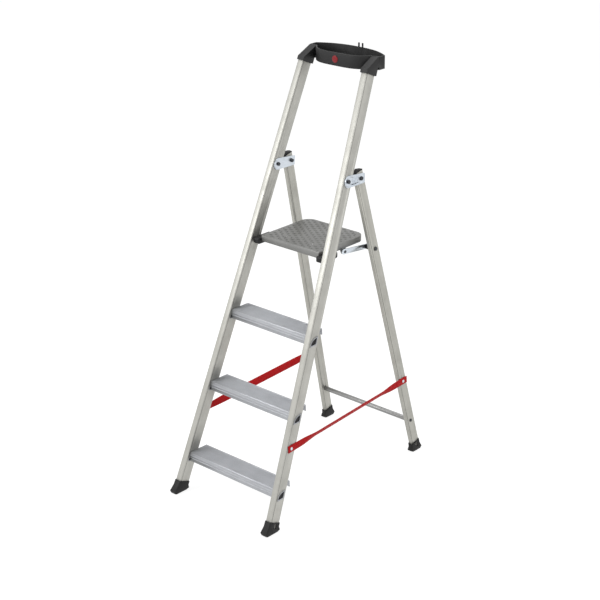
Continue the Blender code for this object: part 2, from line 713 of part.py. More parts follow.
def tread_socket(index, name, side_name, side):
    """The flared tube that holds a tread in a stile, notched at the tread's nose, and its black plug."""
    frame = stile_frames[side]
    inner = socket_loop(index, -SOCKET_WALL)
    low = -FRONT_WIDTH - SOCKET_REACH
    tube = slab([socket_loop(index, 0.0), inner], side, low, GAP + SOCKET_RIM_THICKNESS / 2 - low)
    part = add(f"{name}_tread_tube_{side_name}", tube, frame, Matrix(), TREAD_METAL)
    rim = slab([socket_loop(index, SOCKET_RIM), inner], side, GAP, SOCKET_RIM_THICKNESS)
    front_y, top = tread_front(index)
    nose = front_y + TREAD_LIP + SOCKET_WALL
    ahead = front_y - SOCKET_DEPTH
    below = top - 2 * TREAD_HEIGHT
    box = ((ahead, below), (nose, below), (nose, top), (ahead, top))
    corners = [from_side_view(corner) for corner in box]
    notch = slab([[(setback, along_stile(along)) for setback, along in corners]], side, low - CUT_OVERRUN,
                 SOCKET_REACH + CUT_OVERRUN)
    combine(part, [helper(notch, frame, Matrix())])
    combine(part, [helper(rim, frame, Matrix())], "UNION")
    plug = slab([socket_loop(index, -SOCKET_WALL - GAP)], side, -PLUG_RECESS - PLUG_LENGTH, PLUG_LENGTH)
    add(f"{name}_tread_plug_{side_name}", plug, frame, Matrix(), BLACK_PLASTIC)


# ---------------------------------------------------------------- hinge

def hinge_front_bolt():
    """(setback, along) of the bolt that fixes the plates to the front stile."""
    return (HINGE_SETBACK - HINGE_BOLT_SPAN * cos(HINGE_TILT),
            HINGE_ALONG - HINGE_BOLT_SPAN * sin(HINGE_TILT))


def plate_outline(inset=0.0):
    """Plate outline with the front bolt at 0, 0 and the rear bolt along +x: round nose, square tail."""
    radius = PLATE_NOSE_RADIUS - inset
    tail_x = HINGE_BOLT_SPAN + PLATE_TAIL - inset
    tail_y = PLATE_TAIL_HALF_HEIGHT - inset
    lift = asin((PLATE_NOSE_RADIUS - PLATE_TAIL_HALF_HEIGHT) / (HINGE_BOLT_SPAN + PLATE_TAIL))
    corner = 0.004 - min(inset, 0.002)
    loop = arc((0.0, 0.0), radius, pi / 2 - lift, 3 * pi / 2 + lift, 14)
    loop += arc((tail_x - corner, corner - tail_y), corner, -pi / 2, 0.0, 2)
    loop += arc((tail_x - corner, tail_y - corner), corner, 0.0, pi / 2, 2)
    return loop


def on_plate(loop):
    """Turns plate coordinates into (setback, along) on the stile."""
    bolt_depth, bolt_along = hinge_front_bolt()
    origin = Vector((bolt_depth, along_stile(bolt_along)))
    return [tuple(origin + turned_2d(point, HINGE_TILT)) for point in loop]


def hinge_plates(side_name, side):
    frame = stile_frames[side]
    radius = HINGE_BOLT_RADIUS + HOLE_CLEARANCE
    loops = [on_plate(plate_outline()), on_plate(circle((0.0, 0.0), radius))]
    outer = add(f"hinge_plate_outer_{side_name}", slab(loops, side, GAP, PLATE_THICKNESS), frame, Matrix(),
                ZINC)
    backing = slab(loops, side, -FRONT_WIDTH - GAP - PLATE_POCKET, PLATE_POCKET)
    inner = add(f"hinge_plate_inner_{side_name}", backing, frame, Matrix(), ZINC)
    near, far = HINGE_HALF_WIDTH - 2 * FRONT_WIDTH, HINGE_HALF_WIDTH + FRONT_WIDTH
    ribs = []
    for index in range(PLATE_RIBS):
        x = HINGE_BOLT_SPAN / 2 + (index - (PLATE_RIBS - 1) / 2) * PLATE_RIB_PITCH
        low = (x - PLATE_RIB_WIDTH / 2, -PLATE_RIB_HALF_LENGTH)
        high = (x + PLATE_RIB_WIDTH / 2, PLATE_RIB_HALF_LENGTH)
        ribs.append(on_plate(rounded_box(low, high, PLATE_RIB_WIDTH * 0.45, 2)))
    pocket = slab([on_plate(plate_outline(PLATE_RIM))] + ribs, side, GAP + PLATE_THICKNESS - PLATE_POCKET,
                  PLATE_POCKET + CUT_OVERRUN)
    combine(outer, [level_hole(side, HINGE_POINT, radius, near, far), helper(pocket, frame, Matrix())])
    combine(inner, [level_hole(side, HINGE_POINT, radius, near, far)])


def hinge_bolts(side_name, side):
    """The fixed bolt in the front stile, the pivot bolt in the rear stile and its spacer."""
    bolt_depth, bolt_along = hinge_front_bolt()
    seat = PLATE_THICKNESS - PLATE_POCKET + 2 * GAP
    grip = seat + FRONT_WIDTH + PLATE_POCKET + 2 * GAP
    nut_radius = HINGE_BOLT_RADIUS * 1.5
    fixed = bolt(BOLT_HEAD_RADIUS, BOLT_HEAD_HEIGHT, HINGE_BOLT_RADIUS, grip, nut_radius, BOLT_HEAD_HEIGHT)
    add(f"hinge_fixed_bolt_{side_name}", fixed, stile_frames[side],
        across(side, side * seat, bolt_depth, along_stile(bolt_along)), DARK_STEEL)
    tilt = sin(FRONT_TAPER)
    outer_face = front_half_width(HINGE_ALONG)
    head_seat = seat + BOLT_HEAD_RADIUS * tilt
    level_grip = head_seat + FRONT_WIDTH + PLATE_POCKET + 2 * GAP + nut_radius * tilt
    pivot = bolt(BOLT_HEAD_RADIUS, BOLT_HEAD_HEIGHT, HINGE_BOLT_RADIUS, level_grip, nut_radius,
                 BOLT_HEAD_HEIGHT)
    add(f"hinge_pivot_bolt_{side_name}", pivot, root,
        across(side, side * (outer_face + head_seat), *HINGE_POINT), DARK_STEEL)
    ring_radius = HINGE_BOLT_RADIUS * 2.2
    outer_end = HINGE_HALF_WIDTH - REAR_WIDTH / cos(REAR_TAPER) - SWING_PLAY
    inner_end = outer_face - FRONT_WIDTH / cos(FRONT_TAPER) + ring_radius * tilt
    bore = HINGE_BOLT_RADIUS + GAP
    ring = turned([(bore, outer_end), (ring_radius, outer_end), (ring_radius, inner_end), (bore, inner_end)])
    add(f"hinge_spacer_{side_name}", ring, root, across(side, 0.0, *HINGE_POINT), BLACK_PLASTIC)


# ---------------------------------------------------------------- cross tube

def cross_tube_place():
    """(depth, height) of the cross tube in the rear frame: mid-depth of the rear stiles."""
    depth = REAR_DEPTH / 2 - PIVOT_FROM_REAR_FRONT_FACE
    height = (CROSS_TUBE_HEIGHT - HINGE_HEIGHT - depth * sin(REAR_LEAN)) / cos(REAR_LEAN)
    return depth, height


def rear_inner_half_width(height):
    return HINGE_HALF_WIDTH - height * tan(REAR_TAPER) - REAR_WIDTH / cos(REAR_TAPER)


def cross_tube():
    depth, height = cross_tube_place()
    loops = [circle((0.0, 0.0), radius, 20)
             for radius in (CROSS_TUBE_RADIUS, CROSS_TUBE_RADIUS - CROSS_TUBE_WALL)]
    mesh = prism(loops, 2 * BASE_HALF_WIDTH, -BASE_HALF_WIDTH)
    mesh.transform(Matrix.Translation((0.0, depth, height)) @ SIDEWAYS)
    mitre(mesh, lambda y, z: rear_inner_half_width(z) - GAP)
    add("rear_cross_tube", mesh, rear, Matrix(), ALUMINIUM)
    for side_name, side in SIDES:
        radius = BOLT_HEAD_RADIUS * 0.8
        shape = bolt(radius, BOLT_HEAD_HEIGHT * 0.6, RIVET_RADIUS, REAR_WIDTH + CROSS_BOLT_REACH)
        seat = HINGE_HALF_WIDTH - height * tan(REAR_TAPER) + GAP + radius * sin(REAR_TAPER)
        add(f"cross_tube_bolt_{side_name}", shape, rear, across(side, side * seat, depth, height), DARK_STEEL)


# ---------------------------------------------------------------- platform

def deck_point(point):
    """(y, z) from the platform's pivot."""
    return Vector(point) - PIVOT_POINT


def platform_front():
    """y of the platform's front edge, measured from its pivot."""
    return PLATFORM_TOP * tan(FRONT_LEAN) + PLATFORM_SETBACK - PIVOT_POINT[0]


def platform_outline(inset):
    """Plan view: square front corners, large round rear corners."""
    half = PLATFORM_HALF_WIDTH - inset
    low = platform_front() + inset
    high = platform_front() + PLATFORM_DEPTH - inset
    small = max(PLATFORM_FRONT_CORNER - inset, 0.001)
    large = PLATFORM_REAR_CORNER - inset
    loop = arc((half - small, low + small), small, -pi / 2, 0.0, 3)
    loop += arc((half - large, high - large), large, 0.0, pi / 2, 8)
    loop += arc((large - half, high - large), large, pi / 2, pi, 8)
    loop += arc((small - half, low + small), small, pi, 3 * pi / 2, 3)
    return loop


def platform():
    """A pressed pan, open below, with grip slots and an ear for each strut."""
    slots = [rounded_box((x - GRIP_SLOT_LENGTH / 2, platform_front() + y - GRIP_SLOT_WIDTH / 2),
                         (x + GRIP_SLOT_LENGTH / 2, platform_front() + y + GRIP_SLOT_WIDTH / 2),
                         GRIP_SLOT_WIDTH * 0.45, 3) for x, y in GRIP_SLOTS]
    bottom = PLATFORM_PIVOT_DROP - PLATFORM_HEIGHT
    part = add("platform", prism([platform_outline(0.0)] + slots, PLATFORM_HEIGHT, bottom), deck, Matrix(),
               DECK_METAL)
    y, z = deck_point(STRUT_FRONT)
    ear = arc((y, z), EAR_RADIUS, pi, 2 * pi, 8)
    ear += [(y + EAR_RADIUS * EAR_FOOT, bottom + PLATFORM_SHEET),
            (y - EAR_RADIUS * EAR_FOOT, bottom + PLATFORM_SHEET)]
    hollow = prism([platform_outline(PLATFORM_SHEET)], PLATFORM_HEIGHT - PLATFORM_SHEET + CUT_OVERRUN,
                   bottom - CUT_OVERRUN)
    combine(part, [helper(hollow, deck, Matrix())])
    tabs = [slab([ear], side, PLATFORM_HALF_WIDTH - PLATFORM_SHEET, PLATFORM_SHEET) for _, side in SIDES]
    combine(part, [helper(tab, deck, Matrix()) for tab in tabs], "UNION")


def platform_bush(side_name, side):
    """The black block that fills the space between platform and stile and turns on the pivot."""
    loop = rounded_box((-BUSH_FRONT, -BUSH_HALF_HEIGHT), (BUSH_REAR, BUSH_HALF_HEIGHT),
                       BUSH_HALF_HEIGHT * 0.6, 4)
    hole = circle((0.0, 0.0), PIVOT_RADIUS + HOLE_CLEARANCE)
    low = PLATFORM_HALF_WIDTH + GAP
    width = inner_half_width(PIVOT_POINT[0], PIVOT_POINT[1] + BUSH_REAR) - SWING_PLAY - low
    add(f"platform_bush_{side_name}", slab([loop, hole], side, low, width), deck, Matrix(), BLACK_PLASTIC)


def platform_pivot(side_name, side):
    """The stud from the stile's inner wall into the bush, with its collar inside the stile."""
    wall = inner_half_width(*PIVOT_POINT)
    length = wall - PLATFORM_HALF_WIDTH - 2 * GAP
    collar = STILE_WALL + 2 * GAP
    end = collar + PIVOT_COLLAR
    shape = turned([(0.0, end), (PIVOT_RADIUS * 1.6, end), (PIVOT_RADIUS * 1.6, collar),
                    (PIVOT_RADIUS, collar), (PIVOT_RADIUS, -length), (0.0, -length)])
    add(f"platform_pivot_{side_name}", shape, root, across(side, side * wall, *PIVOT_POINT), DARK_STEEL)


# ---------------------------------------------------------------- struts

def strut_plane():
    return PLATFORM_HALF_WIDTH + STRUT_STANDOFF


def strut(side_name, side):
    """A flat bar from the rear stile's bolt to the platform's ear."""
    reach = STRUT_FRONT - STRUT_REAR
    angle = atan2(reach[1], reach[0])
    half = STRUT_WIDTH / 2
    front_end = (STRUT_LENGTH + STRUT_TAIL, 0.0)
    loop = arc(front_end, half, -pi / 2, pi / 2, 8) + arc((0.0, 0.0), half, pi / 2, 3 * pi / 2, 8)
    holes = [circle((0.0, 0.0), BOLT_RADIUS + HOLE_CLEARANCE),
             circle((STRUT_LENGTH, 0.0), RIVET_RADIUS + GAP)]
    loops = [[tuple(turned_2d(point, angle)) for point in ring] for ring in [loop] + holes]
    add(f"platform_strut_{side_name}", slab(loops, side, strut_plane(), STRUT_THICKNESS), strut_frames[side],
        Matrix(), ZINC)
    grip = STRUT_THICKNESS + STRUT_STANDOFF - GAP
    rivet = bolt(RIVET_RADIUS * 2.0, RIVET_RADIUS * 0.9, RIVET_RADIUS, grip)
    add(f"strut_rivet_{side_name}", rivet, strut_frames[side],
        across(side, side * (strut_plane() + STRUT_THICKNESS + GAP), *reach), DARK_STEEL)


def strut_mount(side_name, side):
    """The dark stand-off on the rear stile and the bolt that carries the strut."""
    strut_out = strut_plane() + STRUT_THICKNESS
    outer_face = HINGE_HALF_WIDTH + STRUT_DROP * tan(REAR_TAPER)
    inner_face = outer_face - REAR_WIDTH / cos(REAR_TAPER)
    low = strut_out + 2 * GAP - outer_face
    high = inner_face - GAP - BRACKET_FLANGE * sin(REAR_TAPER) - outer_face
    bore = BOLT_RADIUS + GAP
    ring = turned([(bore, high), (BRACKET_FLANGE, high), (BRACKET_FLANGE, high - BRACKET_FLANGE_THICKNESS),
                   (BRACKET_RADIUS, high - BRACKET_FLANGE_THICKNESS), (BRACKET_RADIUS, low), (bore, low)])
    place = across(side, side * outer_face, 0.0, -STRUT_DROP)
    add(f"strut_bracket_{side_name}", ring, rear, place, BLACK_PLASTIC)
    seat = GAP + BOLT_HEAD_RADIUS * sin(REAR_TAPER)
    length = seat + outer_face - strut_plane() + GAP
    shape = bolt(BOLT_HEAD_RADIUS, BOLT_HEAD_HEIGHT, BOLT_RADIUS, length, BOLT_RADIUS * 1.6,
                 STRUT_STANDOFF - 4 * GAP)
    add(f"strut_bolt_{side_name}", shape, rear, across(side, side * (outer_face + seat), 0.0, -STRUT_DROP),
        DARK_STEEL)


# ---------------------------------------------------------------- straps

def strap_front_rivet():
    """(setback, along) of the strap's rivet in the front stile: half way across its outer face."""
    setback = FRONT_DEPTH / 2
    return setback, (STRAP_FRONT_HEIGHT + setback * sin(FRONT_LEAN)) / cos(FRONT_LEAN)


def strap_rear_rivet():
    """(depth, height) of the strap's rivet in the rear frame."""
    depth = REAR_DEPTH / 2 - PIVOT_FROM_REAR_FRONT_FACE
    return depth, (STRAP_REAR_HEIGHT - HINGE_HEIGHT - depth * sin(REAR_LEAN)) / cos(REAR_LEAN)


def strap(side_name, side):
    """A webbing strap: flat on each stile, turned on edge along the run between them."""
    setback, along = strap_front_rivet()
    front_face = front.matrix_local @ front_stile_frame(side)
    rear_face = rear.matrix_local @ rear_stile_frame(side)
    depth, height = strap_rear_rivet()
    lift = side * (STRAP_SEAT + STRAP_THICKNESS / 2)
    start = front_face @ Vector((lift, setback, along_stile(along)))
    end = rear_face @ Vector((lift, depth, along_rear(height)))
    run = (end - start).normalized()
    total = (end - start).length
    start_out = side * (front_face.to_3x3() @ Vector((1.0, 0.0, 0.0)))
    end_out = side * (rear_face.to_3x3() @ Vector((1.0, 0.0, 0.0)))

    shape = bmesh.new()
    sections = []
    flat = STRAP_FLAT + FRONT_DEPTH / 2
    turn_run = STRAP_TWIST_RUN * total / 2
    turning = [flat + turn_run * i / STRAP_TWIST_STEPS for i in range(STRAP_TWIST_STEPS + 1)]
    reaches = ([-STRAP_FRONT_TAIL] + turning + [total - reach for reach in reversed(turning)]
               + [total + STRAP_REAR_TAIL])
    for reach in reaches:
        ease = min(max((min(reach, total - reach) - flat) / turn_run, 0.0), 1.0)
        twist = side * STRAP_TWIST * ease * ease * (3 - 2 * ease)
        outward = start_out if reach < total / 2 else end_out
        outward = (outward - outward.dot(run) * run).normalized()
        outward = Matrix.Rotation(twist, 3, run) @ outward
        up = run.cross(outward) * side
        centre = start + run * reach
        ring = []
        for width_sign, thick_sign in ((-1, -1), (1, -1), (1, 1), (-1, 1)):
            ring.append(centre + up * (width_sign * STRAP_WIDTH / 2)
                        + outward * (thick_sign * STRAP_THICKNESS / 2))
        sections.append([shape.verts.new(point) for point in ring])
    for near, far in zip(sections, sections[1:]):
        for i in range(4):
            j = (i + 1) % 4
            shape.faces.new((near[i], near[j], far[j], far[i]))
    shape.faces.new(sections[0])
    shape.faces.new(list(reversed(sections[-1])))
    bmesh.ops.recalc_face_normals(shape, faces=shape.faces)
    mesh = bpy.data.meshes.new("strap")
    shape.to_mesh(mesh)
    shape.free()
    part = add(f"strap_{side_name}", mesh, root, Matrix(), STRAP_RED)
    hole = rod(RIVET_RADIUS + HOLE_CLEARANCE, -CUT_OVERRUN, CUT_OVERRUN)
    combine(part, [helper(hole, root, front_face @ across(side, 0.0, setback, along_stile(along)))])
    combine(part, [helper(hole.copy(), root, rear_face @ across(side, 0.0, depth, along_rear(height)))])
    seat = side * (STRAP_SEAT + STRAP_THICKNESS + GAP)
    rivet = bolt(STRAP_RIVET_HEAD, STRAP_RIVET_HEAD * 0.45, RIVET_RADIUS, STRAP_RIVET_LENGTH)
    add(f"strap_front_rivet_{side_name}", rivet, root,
        front_face @ across(side, seat, setback, along_stile(along)), ZINC)
    add(f"strap_rear_rivet_{side_name}", rivet.copy(), root,
        rear_face @ across(side, seat, depth, along_rear(height)), ZINC)


# ---------------------------------------------------------------- tray

CAP_ALONG = STILE_TOP - TRAY_CAP_FROM_TOP
TRAY_RIM = side_view(0.0, CAP_ALONG)[1] + TRAY_RIM_ABOVE_CAP
TRAY_BOTTOM = TRAY_RIM - TRAY_HEIGHT
TRAY_FRONT = side_view(0.0, CAP_ALONG)[0] + TRAY_FRONT_SETBACK
TRAY_HALF_WIDTH = front_half_width(CAP_ALONG + TRAY_RIM_ABOVE_CAP) + CAP_WALL + GAP
TRAY_THROAT = TRAY_HALF_WIDTH - FRONT_WIDTH - 2 * (CAP_WALL + GAP)


def tray_front(x, inset):
    reach = min(abs(x) / (TRAY_THROAT - inset), 1.0)
    return TRAY_FRONT + inset + TRAY_FRONT_BULGE * reach ** TRAY_FRONT_POWER


def tray_back(x, inset):
    reach = min(abs(x) / (TRAY_HALF_WIDTH - inset), 1.0)
    return TRAY_FRONT + TRAY_MIDDLE_DEPTH - inset - TRAY_BACK_BULGE * reach ** TRAY_BACK_POWER


def tray_plan(inset):
    """Plan of the basin: bowed front between the stiles, bowed back over the full width."""
    throat = TRAY_THROAT - inset
    half = TRAY_HALF_WIDTH - inset
    steps = [2 * i / TRAY_EDGE_POINTS - 1 for i in range(TRAY_EDGE_POINTS + 1)]
    loop = [(throat * s, tray_front(throat * s, inset)) for s in steps]
    shoulder = tray_front(throat, inset) + TRAY_SHOULDER
    loop += [(half, shoulder)]
    loop += [(half * s, tray_back(half * s, inset)) for s in reversed(steps)]
    loop += [(-half, shoulder)]
    return loop


def cap_profile():
    """Side view of a stile cap, as (setback, along) on the stile."""
    skin = CAP_WALL + GAP
    rim_front = from_side_view((TRAY_FRONT + TRAY_FRONT_BULGE, TRAY_RIM))
    rim_back = from_side_view((TRAY_FRONT + TRAY_MIDDLE_DEPTH - TRAY_BACK_BULGE, TRAY_RIM))
    deep = FRONT_DEPTH + skin + CAP_WALL
    step_along = CAP_ALONG + CAP_STEP_RISE
    points = [(-skin, CAP_ALONG), (deep, CAP_ALONG), (deep, step_along), (deep + CAP_STEP, step_along),
              rim_back, rim_front, (-skin, CAP_ALONG + CAP_FRONT_HEIGHT)]
    return [(setback, along_stile(along)) for setback, along in points]


def tray():
    """The tool tray: a bowed basin, a cap over each stile top, and a two-pronged hook at the back."""
    part = add("top_tray", prism([tray_plan(0.0)], TRAY_HEIGHT, TRAY_BOTTOM), root, Matrix(), BLACK_PLASTIC)
    skin = CAP_WALL + GAP
    joined = []
    for x in HOOK_X:
        back = tray_back(x, 0.0)
        loop = rounded_box((x - HOOK_WIDTH / 2, back - HOOK_DEPTH), (x + HOOK_WIDTH / 2, back - GAP),
                           HOOK_DEPTH * 0.3, 2)
        prong = prism([loop], HOOK_RISE + TRAY_HEIGHT / 2, TRAY_RIM - TRAY_HEIGHT / 2)
        joined.append(helper(prong, root, Matrix()))
    floor = TRAY_BOTTOM + TRAY_FLOOR
    near = TRAY_FRONT + WELL_FROM_FRONT
    well = rounded_box((-TRAY_THROAT * 0.8, near), (TRAY_THROAT * 0.8, near + WELL_DEPTH), WELL_CORNER, 4)
    cut = [helper(prism([tray_plan(TRAY_WALL)], TRAY_HEIGHT, floor + TRAY_LEDGE_HEIGHT), root, Matrix()),
           helper(prism([well], TRAY_HEIGHT / 2, floor), root, Matrix())]
    for _, side in SIDES:
        place = front.matrix_local @ front_stile_frame(side)
        cap = slab([cap_profile()], side, -FRONT_WIDTH - skin, FRONT_WIDTH + 2 * skin)
        joined.append(helper(cap, root, place))
        pocket = rounded_box((-FRONT_WIDTH - GAP, -GAP), (GAP, FRONT_DEPTH + GAP), STILE_CORNER, 2)
        depth = along_stile(STILE_TOP) + GAP - along_stile(CAP_ALONG) + CUT_OVERRUN
        hole = prism([mirrored(pocket, side)], depth, along_stile(CAP_ALONG) - CUT_OVERRUN)
        cut.append(helper(hole, root, place))
    combine(part, joined, "UNION")
    combine(part, cut)


def badge():
    """The plain round badge on the middle of the tray's front."""
    edge = BADGE_THICKNESS * 0.6
    shape = turned([(0.0, BADGE_THICKNESS), (BADGE_RADIUS * 0.6, BADGE_THICKNESS * 0.95),
                    (BADGE_RADIUS * 0.92, BADGE_THICKNESS * 0.8), (BADGE_RADIUS, edge), (BADGE_RADIUS, 0.0),
                    (0.0, 0.0)], 32)
    place = (Matrix.Translation((0.0, TRAY_FRONT - GAP, TRAY_BOTTOM + TRAY_HEIGHT * 0.5))
             @ Matrix.Rotation(pi / 2, 4, "X"))
    add("tray_badge", shape, root, place, BADGE_RED)


# ---------------------------------------------------------------- assembly

for side_name, side in SIDES:
    front_stile(side_name, side)
    rear_stile(side_name, side)
    rear_cap(side_name, side)
    hinge_plates(side_name, side)
    hinge_bolts(side_name, side)
    platform_bush(side_name, side)
    platform_pivot(side_name, side)
    strut(side_name, side)
    strut_mount(side_name, side)
    strap(side_name, side)
    shoe(f"front_shoe_{side_name}", side, stile_frames[side], front.matrix_local @ front_stile_frame(side),
         FRONT_LEAN, FRONT_WIDTH, FRONT_DEPTH, 0.0, along_stile(FRONT_START))
    shoe(f"rear_shoe_{side_name}", side, rear_frames[side], rear.matrix_local @ rear_stile_frame(side),
         -REAR_LEAN, REAR_WIDTH, REAR_DEPTH, -PIVOT_FROM_REAR_FRONT_FACE, REAR_START)

for index, name in enumerate(TREAD_NAMES):
    tread(index, name)
    for side_name, side in SIDES:
        tread_socket(index, name, side_name, side)

cross_tube()
platform()
tray()
badge()


def settle():
    """Moves the ladder along Y so that the middle of its footprint is the origin."""
    bpy.context.view_layer.update()
    depsgraph = bpy.context.evaluated_depsgraph_get()
    reaches = []
    for part in parts.objects:
        if part.type == "MESH":
            solid = part.evaluated_get(depsgraph)
            reaches += [(part.matrix_world @ vertex.co).y for vertex in solid.data.vertices]
    root.location.y = -(min(reaches) + max(reaches)) / 2


settle()
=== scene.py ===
import json
from math import cos, pi, radians, sin

import bmesh
import bpy
from mathutils import Matrix, Vector


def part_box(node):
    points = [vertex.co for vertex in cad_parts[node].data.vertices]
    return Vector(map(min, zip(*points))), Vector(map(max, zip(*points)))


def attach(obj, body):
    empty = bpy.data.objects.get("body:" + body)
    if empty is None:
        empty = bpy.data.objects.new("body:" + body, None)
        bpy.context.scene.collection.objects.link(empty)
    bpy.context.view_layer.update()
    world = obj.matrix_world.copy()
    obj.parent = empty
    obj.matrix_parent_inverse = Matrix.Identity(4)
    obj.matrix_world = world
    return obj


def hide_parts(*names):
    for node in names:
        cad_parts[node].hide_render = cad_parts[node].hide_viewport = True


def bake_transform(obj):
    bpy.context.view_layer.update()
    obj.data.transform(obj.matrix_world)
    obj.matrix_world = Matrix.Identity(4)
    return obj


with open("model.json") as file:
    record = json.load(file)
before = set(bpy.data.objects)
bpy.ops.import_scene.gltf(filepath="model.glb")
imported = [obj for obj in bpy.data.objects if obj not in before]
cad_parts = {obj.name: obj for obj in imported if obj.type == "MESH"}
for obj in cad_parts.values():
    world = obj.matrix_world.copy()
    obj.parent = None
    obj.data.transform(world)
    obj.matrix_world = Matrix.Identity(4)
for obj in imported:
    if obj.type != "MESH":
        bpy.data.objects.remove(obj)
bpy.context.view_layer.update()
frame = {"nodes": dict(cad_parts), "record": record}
scene = bpy.context.scene
scene.view_settings.view_transform = "Standard"
sides = ("left", "right")
lean = dict(front=radians(21.93), rear=radians(14.34))     # of the stiles, from upright
print("frame loaded:", len(frame["nodes"]), "parts")


camera = dict(place=(3.1928, -3.5599, 2.6074), right=(0.74573, 0.66623, -0.00385),
              up=(-0.24940, 0.28451, 0.92567), back=(0.61780, -0.68934, 0.37832), lens=91.29)


def makeCamera():
    data = bpy.data.cameras.new("ladderCamera")
    data.lens = camera["lens"]
    data.clip_end = 60.0
    eye = bpy.data.objects.new("ladderCamera", data)
    scene.collection.objects.link(eye)
    axes = Matrix([camera["right"], camera["up"], camera["back"]]).transposed().to_4x4()
    eye.matrix_world = Matrix.Translation(camera["place"]) @ axes
    scene.camera = eye


makeCamera()


def put(tree, kind, feeds=None, **settings):
    node = tree.nodes.new(kind)     # feeds are sockets to join or values to set
    for option, value in settings.items():
        setattr(node, option, value)
    for socket, value in (feeds or {}).items():
        if isinstance(value, bpy.types.NodeSocket):
            tree.links.new(value, node.inputs[socket])
        else:
            node.inputs[socket].default_value = value
    return node


def sums(tree, operation, first, second=0.0, third=None):
    feeds = {0: first, 1: second}
    if third is not None:
        feeds[2] = third
    return put(tree, "ShaderNodeMath", feeds, operation=operation).outputs[0]


def newGroup(name, kind, inputs, outputs):
    tree = bpy.data.node_groups.new(name, kind)
    for label, socketType, value in inputs:
        socket = tree.interface.new_socket(label, in_out="INPUT", socket_type=socketType)
        if value is not None:
            socket.default_value = value
    for label, socketType in outputs:
        tree.interface.new_socket(label, in_out="OUTPUT", socket_type=socketType)
    return tree, tree.nodes.new("NodeGroupInput"), tree.nodes.new("NodeGroupOutput")


def buildBrushedGrain():     # long fine streaks along Z
    tree, given, out = newGroup("brushedGrain", "ShaderNodeTree",
                                [("Vector", "NodeSocketVector", None),
                                 ("Fineness", "NodeSocketFloat", 900.0),
                                 ("Stretch", "NodeSocketFloat", 0.012)],
                                [("Grain", "NodeSocketFloat"), ("Height", "NodeSocketFloat")])
    squeeze = sums(tree, "MULTIPLY", given.outputs["Fineness"], given.outputs["Stretch"])
    size = put(tree, "ShaderNodeCombineXYZ", {0: given.outputs["Fineness"], 1: given.outputs["Fineness"],
                                              2: squeeze})
    drawn = put(tree, "ShaderNodeVectorMath", {0: given.outputs["Vector"], 1: size.outputs[0]},
                operation="MULTIPLY")
    fine = put(tree, "ShaderNodeTexNoise", {"Vector": drawn.outputs[0], "Scale": 1.0, "Detail": 3.0})
    coarse = put(tree, "ShaderNodeTexNoise", {"Vector": drawn.outputs[0], "Scale": 0.13, "Detail": 2.0})
    broad = sums(tree, "MULTIPLY", coarse.outputs["Fac"], 0.4)
    both = sums(tree, "MULTIPLY_ADD", fine.outputs["Fac"], 0.6, broad)
    tree.links.new(both, out.inputs["Grain"])
    tree.links.new(fine.outputs["Fac"], out.inputs["Height"])
    return tree


def buildHandlingMarks():     # soft smudges with a few fine scratches
    tree, given, out = newGroup("handlingMarks", "ShaderNodeTree",
                                [("Vector", "NodeSocketVector", None), ("Size", "NodeSocketFloat", 14.0)],
                                [("Marks", "NodeSocketFloat"), ("Scratches", "NodeSocketFloat")])
    cloud = put(tree, "ShaderNodeTexNoise", {"Vector": given.outputs["Vector"],
                                             "Scale": given.outputs["Size"], "Detail": 5.0,
                                             "Roughness": 0.65})
    soft = put(tree, "ShaderNodeMapRange", {"Value": cloud.outputs["Fac"], "From Min": 0.42,
                                            "From Max": 0.72})
    bent = put(tree, "ShaderNodeMapping", {"Vector": given.outputs["Vector"], "Rotation": (0.5, 0.9, 0.4),
                                           "Scale": (420.0, 420.0, 9.0)})
    lines = put(tree, "ShaderNodeTexNoise", {"Vector": bent.outputs[0], "Scale": 1.0, "Detail": 1.0})
    thin = put(tree, "ShaderNodeMapRange", {"Value": lines.outputs["Fac"], "From Min": 0.70,
                                            "From Max": 0.76})
    scratched = sums(tree, "MULTIPLY", thin.outputs[0], soft.outputs[0])
    tree.links.new(soft.outputs[0], out.inputs["Marks"])
    tree.links.new(scratched, out.inputs["Scratches"])
    return tree


def buildMouldGrain():     # leathery grain of moulded plastic or rubber
    tree, given, out = newGroup("mouldGrain", "ShaderNodeTree",
                                [("Vector", "NodeSocketVector", None), ("Scale", "NodeSocketFloat", 1400.0)],
                                [("Height", "NodeSocketFloat"), ("Cloud", "NodeSocketFloat")])
    cells = put(tree, "ShaderNodeTexVoronoi", {"Vector": given.outputs["Vector"],
                                               "Scale": given.outputs["Scale"]})
    cloud = put(tree, "ShaderNodeTexNoise", {"Vector": given.outputs["Vector"], "Scale": 35.0, "Detail": 4.0})
    tree.links.new(cells.outputs["Distance"], out.inputs["Height"])
    tree.links.new(cloud.outputs["Fac"], out.inputs["Cloud"])
    return tree


def buildFloorDust():     # thins out with height over the floor
    tree, given, out = newGroup("floorDust", "ShaderNodeTree",
                                [("Vector", "NodeSocketVector", None), ("Height", "NodeSocketFloat", 0.05)],
                                [("Dust", "NodeSocketFloat")])
    level = put(tree, "ShaderNodeSeparateXYZ", {0: given.outputs["Vector"]})
    near = put(tree, "ShaderNodeMapRange", {"Value": level.outputs["Z"], "From Min": 0.0,
                                            "From Max": given.outputs["Height"], "To Min": 1.0,
                                            "To Max": 0.0})
    specks = put(tree, "ShaderNodeTexNoise", {"Vector": given.outputs["Vector"], "Scale": 160.0,
                                              "Detail": 6.0})
    broken = put(tree, "ShaderNodeMapRange", {"Value": specks.outputs["Fac"], "From Min": 0.45,
                                              "From Max": 0.7})
    tree.links.new(sums(tree, "MULTIPLY", near.outputs[0], broken.outputs[0]), out.inputs["Dust"])
    return tree


brushedGrain = buildBrushedGrain()
handlingMarks = buildHandlingMarks()
mouldGrain = buildMouldGrain()
floorDust = buildFloorDust()


